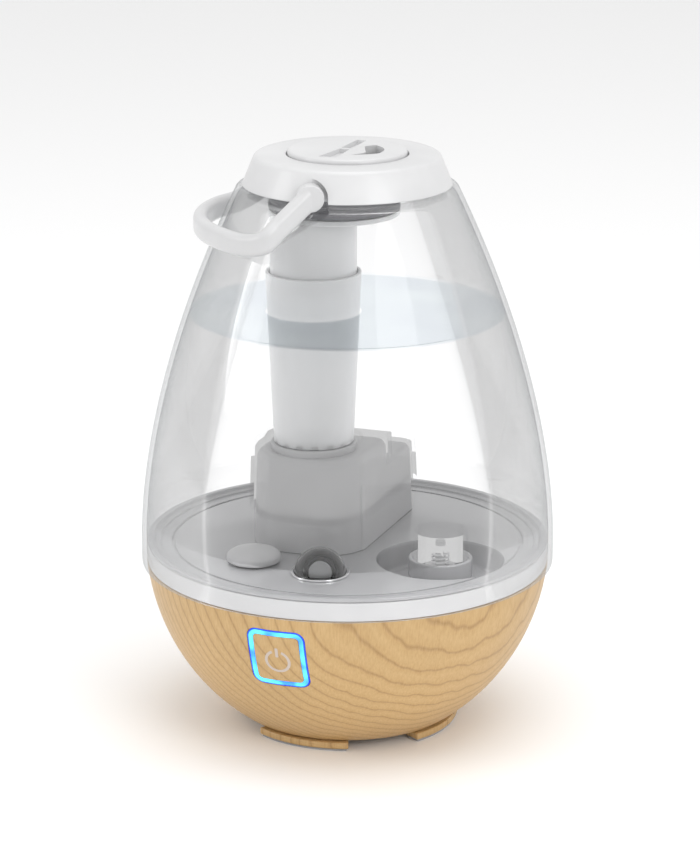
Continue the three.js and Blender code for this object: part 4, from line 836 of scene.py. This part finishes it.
cup_low, cup_high = span("valve_cup")
cup = lathe(
    "valve_cup_ring",
    [(6, cup_low.z), (15.7, cup_low.z, 1), (15.7, cup_high.z, 0.8), (13.7, cup_high.z, 0.8),
     (13.7, cup_low.z + 2), (6, cup_low.z + 2, 0.5)],
    96, WELL_X, WELL_Y,
)
finish_piece(cup, "tank", GREY, "grey_tray", "valve_cup")
stem_low, stem_high = span("valve_stem")
PLATE = cup_low.z + 3.6
valve = lathe(
    "valve_plunger",
    [(0, stem_low.z), (2.5, stem_low.z, 0.6), (2.5, PLATE, 0.2), (8, PLATE, 0.4), (8, PLATE + 1.4, 0.4),
     (2.5, PLATE + 1.4, 0.2), (2.5, stem_high.z, 0.8), (0, stem_high.z)],
    64, WELL_X, WELL_Y,
)
finish_piece(valve, "valve", WHITE, "grey_tray", "valve_stem")

# ---- Mist tube ----
tube_low, tube_high = span("mist_tube_lower")
upper_low, upper_high = span("mist_tube_upper")
UPPER_TUBE_RADIUS, UPPER_TUBE_BORE = 21.2, 19.6
lower_tube = lathe(
    "mist_tube_wide",
    [(18.1, tube_low.z, 0.4), (19.7, tube_low.z, 0.4), (23.5, tube_high.z, 0.6), (21.9, tube_high.z, 0.5)],
    128, TUBE_X, TUBE_Y,
)
finish_piece(lower_tube, "tank", FROSTED, "frosted_tube", "mist_tube_lower")
upper_tube = cylinder("mist_tube_narrow", UPPER_TUBE_RADIUS, upper_low.z, upper_high.z, 128, TUBE_X, TUBE_Y)
flange = [(0, upper_high.z - 2.5), (32, upper_high.z - 2.5, 0.9), (32, upper_high.z, 0.6), (0, upper_high.z)]
join(upper_tube, lathe("flange", flange, 128, FLANGE_X, FLANGE_Y))
cut(upper_tube, cylinder("bore", UPPER_TUBE_BORE, 100, 300, 128, TUBE_X, TUBE_Y))
finish_piece(upper_tube, "tank", FROSTED, "frosted_tube", "mist_tube_upper")

# ---- Handle's geometry, which the tank's recesses and the cap's notches follow ----
hinge = next(j for j in frame["joints"] if j["name"] == "handle_swing")
PIVOT = Vector(hinge["pos_m"]) * 1000
ALONG = -Vector(hinge["axis"]).normalized()
AWAY = Vector((PIVOT.x, PIVOT.y, 0)).normalized()
PIN_Z = PIVOT.z
PIN_AWAY = Vector((PIVOT.x, PIVOT.y)).length
PIN_SPREAD = math.sqrt((CAP_BOTTOM_RADIUS - 1) ** 2 - PIN_AWAY**2)
EYE_INNER = PIN_SPREAD - 3
ARM_THICK, ARM_HIGH, EYE_RADIUS = 7, 11, 6.6
GRIP_Z = PIN_Z - 21.5
GRIP_RADIUS = tank_radius(GRIP_Z - ARM_HIGH / 2) + 3.4 + ARM_THICK / 2
CORNER_TURN = 51
SWING_ROOM = 0.9
UP = Vector((0, 0, 1))


def handle_place(along, away, z):
    return ALONG * along + AWAY * away + UP * z


def grip_place(radius, degrees):
    turn = math.radians(degrees)
    return handle_place(radius * math.sin(turn), radius * math.cos(turn), GRIP_Z)


def arm_start(side):
    return handle_place(side * (EYE_INNER + ARM_THICK / 2), PIN_AWAY, PIN_Z)


def arm_end(side):
    return grip_place(GRIP_RADIUS + 2.6, side * CORNER_TURN)


def smooth_path(points, per_span=9):
    """A centripetal Catmull-Rom line through points, at even steps."""
    padded = [points[0] * 2 - points[1], *points, points[-1] * 2 - points[-2]]
    made = []
    for a, b, c, d in zip(padded, padded[1:], padded[2:], padded[3:]):
        t1 = (b - a).length ** 0.5
        t2 = t1 + (c - b).length ** 0.5
        t3 = t2 + (d - c).length ** 0.5
        for k in range(per_span):
            t = t1 + (t2 - t1) * k / per_span
            p = a * ((t1 - t) / t1) + b * (t / t1)
            q = b * ((t2 - t) / (t2 - t1)) + c * ((t - t1) / (t2 - t1))
            r = c * ((t3 - t) / (t3 - t2)) + d * ((t - t2) / (t3 - t2))
            s = p * ((t2 - t) / t2) + q * (t / t2)
            u = q * ((t3 - t) / (t3 - t1)) + r * ((t - t1) / (t3 - t1))
            made.append(s * ((t2 - t) / (t2 - t1)) + u * ((t - t1) / (t2 - t1)))
    made.append(points[-1])
    return made


def sweep(name, path, section):
    """A section of (thickness, height) points along a path, kept upright."""
    loops = []
    for i, point in enumerate(path):
        tangent = (path[min(i + 1, len(path) - 1)] - path[max(i - 1, 0)]).normalized()
        normal = UP.cross(tangent).normalized()
        binormal = tangent.cross(normal)
        loops.append([point + normal * x + binormal * y for x, y in section])
    return loft(name, loops)


def pin_cylinder(name, radius, start, end, sides=64):
    """A cylinder about the handle's hinge line."""
    low, high = min(start, end), max(start, end)
    piece = lathe(name, [(0, low), (radius, low), (radius, high), (0, high)], sides)
    turn = UP.rotation_difference(ALONG).to_matrix().to_4x4()
    piece.data.transform(Matrix.Translation(handle_place(0, PIN_AWAY, PIN_Z) * MM) @ turn)
    return piece


def arm_section(margin, side_room=0.0, corner=2.6):
    half_thick, half_high = ARM_THICK / 2 + margin + side_room, ARM_HIGH / 2 + margin
    return rounded_rectangle(-half_thick, half_thick, -half_high, half_high, [corner] * 4, 5)


def arm_recess(side, margin):
    start = arm_start(side)
    arm = sweep("recess", [start, start.lerp(arm_end(side), 0.7)], arm_section(margin, SWING_ROOM))
    inside = EYE_INNER - margin
    outside = inside + ARM_THICK + 2 * margin
    eye = pin_cylinder("eye", EYE_RADIUS + SWING_ROOM + margin, side * inside, side * outside)
    return join(arm, eye)


# ---- Tank ----
tank_side = [(tank_radius(z), z) for z in steps(SKIRT, TANK_TOP - 1.2, 72)]
tank_inside = [(tank_radius(z, WALL), z) for z in steps(SKIRT, TANK_TOP - 5, 72)]
tank = lathe(
    "tank_wall",
    [
        (TANK_RADIUS - WALL, TANK_LOW.z, 0.5),
        (TANK_RADIUS, TANK_LOW.z, 0.8),
        *tank_side,
        (TANK_TOP_RADIUS - 0.3, TANK_TOP - 0.3),
        (TANK_TOP_RADIUS - 1.2, TANK_TOP),
        (MOUTH_RADIUS, TANK_TOP, 0.6),
        (MOUTH_RADIUS, TANK_TOP - 3, 0.6),
        (tank_radius(TANK_TOP - 3.6, WALL) - 0.8, TANK_TOP - 3.2),
        *reversed(tank_inside),
    ],
    192,
    sharp=50,
)
for side in (1, -1):
    blank_outline = [
        (0, TANK_LOW.z),
        (TANK_RADIUS, TANK_LOW.z),
        *tank_side,
        (TANK_TOP_RADIUS - 1.2, TANK_TOP),
        (0, TANK_TOP),
    ]
    blank = lathe("blank", blank_outline, 192)
    boss = boolean(arm_recess(side, 0.8 + WALL), blank, "INTERSECT")
    cut(boss, cylinder("mouth", MOUTH_RADIUS, 0, 400, 192))
    join(tank, boss)
cut(tank, arm_recess(1, 0.8), arm_recess(-1, 0.8))
smooth(tank, 50)
finish_piece(tank, "tank", CLEAR, "clear_tank", "tank_shell")

water_radius = tank_radius(WATER_LEVEL, WALL) - 0.3
water = lathe(
    "water_surface",
    [(0, WATER_LEVEL - 0.5), (water_radius, WATER_LEVEL - 0.5), (water_radius, WATER_LEVEL + 0.8, 0.2),
     (water_radius - 1.4, WATER_LEVEL, 0.6), (0, WATER_LEVEL)],
    192,
)
cut(water, cylinder("hole", 23.6, 100, 300, 96, TUBE_X, TUBE_Y))
finish_piece(water, "tank", WATER, "clear_tank")

# ---- Cap ----
TOP = CAP_HIGH.z
BOTTOM = CAP_LOW.z
LEDGE = TOP - 2.5
PLATE_LOW = LEDGE - 2.6
LIP_RADIUS = 20.6 + 0.4
NOZZLE_RADIUS = NOZZLE_HIGH.x


def cap_radius(z):
    """The radius of the cap's sloped skirt at a height."""
    return CAP_BOTTOM_RADIUS - CAP_SLOPE * (z - BOTTOM) / (TOP - BOTTOM)


cap = lathe(
    "cap_body",
    [
        (LIP_RADIUS, PLATE_LOW),
        (cap_radius(PLATE_LOW) - 3.2, PLATE_LOW, 0.8),
        (CAP_BOTTOM_RADIUS - 3.2, BOTTOM, 0.5),
        (CAP_BOTTOM_RADIUS, BOTTOM, 0.7),
        (CAP_TOP_RADIUS, TOP, 2.4),
        (NOZZLE_RADIUS + 0.7, TOP, 0.5),
        (NOZZLE_RADIUS + 0.7, LEDGE),
        (LIP_RADIUS, LEDGE, 0.4),
    ],
    192,
)
NOTCH = 8.3
NOTCH_BACK = EYE_INNER - 0.4


def across(side, near, far, half_width):
    """A rectangle over the handle's hinge line, between two distances from its middle."""
    corners = ((near, -half_width), (near, half_width), (far, half_width), (far, -half_width))
    places = [handle_place(side * along, PIN_AWAY + away, 0) for along, away in corners]
    if side < 0:
        places.reverse()
    return [(place.x, place.y) for place in places]


for side in (1, -1):
    boss_points = across(side, NOTCH_BACK - 4, NOTCH_BACK + 6, NOTCH + 1.5)
    block = prism("boss", boss_points, BOTTOM + 0.2, PLATE_LOW + 1)
    envelope = [
        (0, BOTTOM + 0.1),
        (CAP_BOTTOM_RADIUS - 0.6, BOTTOM + 0.1),
        (cap_radius(TOP - 1.3) - 0.6, TOP - 1.3),
        (0, TOP - 1.3),
    ]
    join(cap, boolean(block, lathe("envelope", envelope, 192), "INTERSECT"))
for side in (1, -1):
    cut(
        cap,
        pin_cylinder("notch", NOTCH, side * NOTCH_BACK, side * (PIN_SPREAD + 20), 96),
        prism("slot", across(side, NOTCH_BACK, NOTCH_BACK + 30, NOTCH - 0.01), 2 * BOTTOM - PIN_Z, PIN_Z),
        pin_cylinder("hole", 1.8, side * (NOTCH_BACK - 8), side * (PIN_SPREAD + 5), 32),
    )
finish_piece(cap, "cap", WHITE, "white_plastic", "cap_shell")

seal_low, seal_high = span("funnel_seal")
seal = lathe(
    "seal_ring",
    [
        (27.5, seal_low.z, 0.5),
        (32, seal_low.z, 0.8),
        (32, seal_low.z + 3.2, 0.5),
        (31.3, seal_low.z + 3.7, 0.3),
        (31.3, seal_low.z + 5.4, 0.3),
        (32, seal_low.z + 5.9, 0.5),
        (32, seal_high.z, 0.5),
        (27.5, seal_high.z, 0.5),
    ],
    128, FLANGE_X, FLANGE_Y,
)
finish_piece(seal, "cap", SEAL, "dark_seal", "funnel_seal")
funnel_low, funnel_high = span("mist_funnel")
funnel = lathe(
    "funnel_ring",
    [
        (29, funnel_low.z, 0.4),
        (31.6, funnel_low.z, 0.6),
        (31.6, funnel_high.z, 0.6),
        (29, funnel_high.z, 0.4),
    ],
    128, FLANGE_X, FLANGE_Y,
)
finish_piece(funnel, "cap", WHITE, "white_plastic", "mist_funnel")

# ---- Nozzle ----
DISC_LOW = LEDGE + 0.3
nozzle = lathe(
    "nozzle_disc",
    [
        (19.4, NOZZLE_LOW.z, 0.3),
        (20.6, NOZZLE_LOW.z),
        (21.8, NOZZLE_LOW.z + 2, 0.2),
        (20.6, NOZZLE_LOW.z + 2.1),
        (20.6, DISC_LOW),
        (NOZZLE_RADIUS, DISC_LOW, 0.4),
        (NOZZLE_RADIUS, NOZZLE_HIGH.z, 2.0),
        (0, NOZZLE_HIGH.z - 0.25),
        (0, DISC_LOW),
        (19.4, DISC_LOW),
    ],
    192,
)


def curve_points(*knots, count=10):
    """Corners along quadratic curves: a start, then (control, end) pairs."""
    points = [knots[0]]
    for control, end in zip(knots[1::2], knots[2::2]):
        start = points[-1]
        for k in range(1, count + 1):
            t = k / count
            points.append(tuple(
                (1 - t) ** 2 * a + 2 * t * (1 - t) * b + t * t * c for a, b, c in zip(start, control, end)
            ))
    return points[:-1]


outlet = curve_points(
    (6.7, -14.4), (12, -9), (11.3, -4.9), (8, 2), (6.1, 7.7), (8, 12), (10.7, 12.1),
    (18.5, 6), (18.5, -0.9), (19, -6), (17.4, -7.8), (12, -13), (6.7, -14.4),
)
outlet.reverse()
cut(nozzle, prism("outlet", outlet, DISC_LOW - 1, 400))
finger = [(-5.6, -23.2), (2.6, -22.0), (1.6, -1.2), (-3.4, -1.2)]
finger_far = [(-3.4, 1.0), (1.6, 1.0), (1.9, 20.6), (-3.0, 21.4)]
for shape in (finger, finger_far):
    cut(nozzle, loft("finger", [
        [(x, y, NOZZLE_HIGH.z - 2.4) for x, y in shape],
        [(x * 1.06, y * 1.03, NOZZLE_HIGH.z + 1) for x, y in shape],
    ]))
finish_piece(nozzle, "nozzle", WHITE, "white_plastic", "nozzle")

# ---- Handle ----
def half_path(side):
    start, end = arm_start(side), arm_end(side)
    arm = [start.lerp(end, share) for share in (0, 0.3, 0.6, 0.88)]
    grip = [grip_place(GRIP_RADIUS, side * CORNER_TURN * share) for share in (0.85, 0.6, 0.3)]
    return arm + grip


path = smooth_path([*half_path(1), grip_place(GRIP_RADIUS, 0), *reversed(half_path(-1))])
handle = sweep("handle_bail", path, arm_section(0, corner=3.2))
for side in (1, -1):
    cut(handle, pin_cylinder("room", NOTCH + 4, side * (EYE_INNER - 20), side * EYE_INNER))
for side in (1, -1):
    join(handle, pin_cylinder("eye", EYE_RADIUS, side * EYE_INNER, side * (EYE_INNER + ARM_THICK)))
remesh = handle.modifiers.new("even", "REMESH")
remesh.mode = "VOXEL"
remesh.voxel_size = 0.55 * MM
relax = handle.modifiers.new("relax", "SMOOTH")
relax.factor, relax.iterations = 0.5, 6
bpy.context.view_layer.update()
handle_mesh = bpy.data.meshes.new_from_object(handle.evaluated_get(bpy.context.evaluated_depsgraph_get()))
handle.modifiers.clear()
handle.data = handle_mesh
handle.data.shade_smooth()
finish_piece(handle, "handle", HANDLE, "handle_plastic", "handle")

# ---- Materials of the solids that stay ----
kept = {
    BLACK: ("bottom_cover", "transducer_clamp", "fan_frame", "fan_rotor", "button_switch", "power_inlet"),
    STEEL: ("transducer", "fan_shaft", "handle_pin_front", "handle_pin_side"),
    PALE_STEEL: ("valve_spring",),
    SOFT: ("transducer_seal", "valve_seal"),
    WHITE: ("float_post", "fan_duct"),
    BOARD: ("control_board", "button_board"),
    INNER_CLEAR: ("tank_floor",),
}
for material, names in kept.items():
    extra = [f"{kind}_{i}" for kind in ("cover_screw", "board_screw") for i in range(1, 5)]
    for name in (*names, *(extra if material is STEEL else ())):
        nodes[name].data.materials.clear()
        nodes[name].data.materials.append(material)
        smooth(nodes[name], 30)

# ---- Floor, light and camera ----
floor_mesh = bpy.data.meshes.new("floor")
FLOOR_HALF = 6.0
floor_corners = ((-1, -1), (1, -1), (1, 1), (-1, 1))
floor_mesh.from_pydata([(x * FLOOR_HALF, y * FLOOR_HALF, 0) for x, y in floor_corners], [], [(0, 1, 2, 3)])
floor = bpy.data.objects.new("floor", floor_mesh)
bpy.context.scene.collection.objects.link(floor)
pale = Look("pale_floor")
pale.shader.inputs["Roughness"].default_value = 0.8
pale.shader.inputs["Base Color"].default_value = (0.98, 0.98, 0.98, 1)
floor_mesh.materials.append(pale.material)


def area_light(name, place, target, size, power):
    light = bpy.data.lights.new(name, "AREA")
    light.shape = "DISK"
    light.size = size
    light.energy = power
    lamp = bpy.data.objects.new(name, light)
    lamp.location = place
    lamp.rotation_euler = (Vector(target) - Vector(place)).to_track_quat("-Z", "Y").to_euler()
    bpy.context.scene.collection.objects.link(lamp)
    return lamp


area_light("light_top", (0.25, -0.1, 1.9), (0, 0, 0.15), 1.6, 12)
area_light("light_right", (1.4, -0.9, 0.9), (0, 0, 0.15), 0.9, 7)
area_light("light_left", (-1.3, -0.8, 0.7), (0, 0, 0.15), 0.7, 4)

world = bpy.data.worlds.new("studio")
bpy.context.scene.world = world
world.use_nodes = True
tree = world.node_tree
background = tree.nodes["Background"]
rays = tree.nodes.new("ShaderNodeLightPath")
strength = tree.nodes.new("ShaderNodeMapRange")
strength.inputs["To Min"].default_value = 0.82
strength.inputs["To Max"].default_value = 1.0
tree.links.new(rays.outputs["Is Camera Ray"], strength.inputs["Value"])
tree.links.new(strength.outputs["Result"], background.inputs["Strength"])
background.inputs["Color"].default_value = (1, 1, 1, 1)
bpy.context.scene.view_settings.view_transform = "Standard"

camera_data = bpy.data.cameras.new("camera")
camera_data.lens = 133.3
camera_data.sensor_width = 36
camera_data.shift_x = 0.003
camera_data.clip_start, camera_data.clip_end = 0.05, 50
camera = bpy.data.objects.new("camera", camera_data)
camera.location = (0.5253, -1.405, 0.5851)
camera.rotation_euler = (math.radians(73.8), 0, math.radians(20.5))
bpy.context.scene.collection.objects.link(camera)
bpy.context.scene.camera = camera
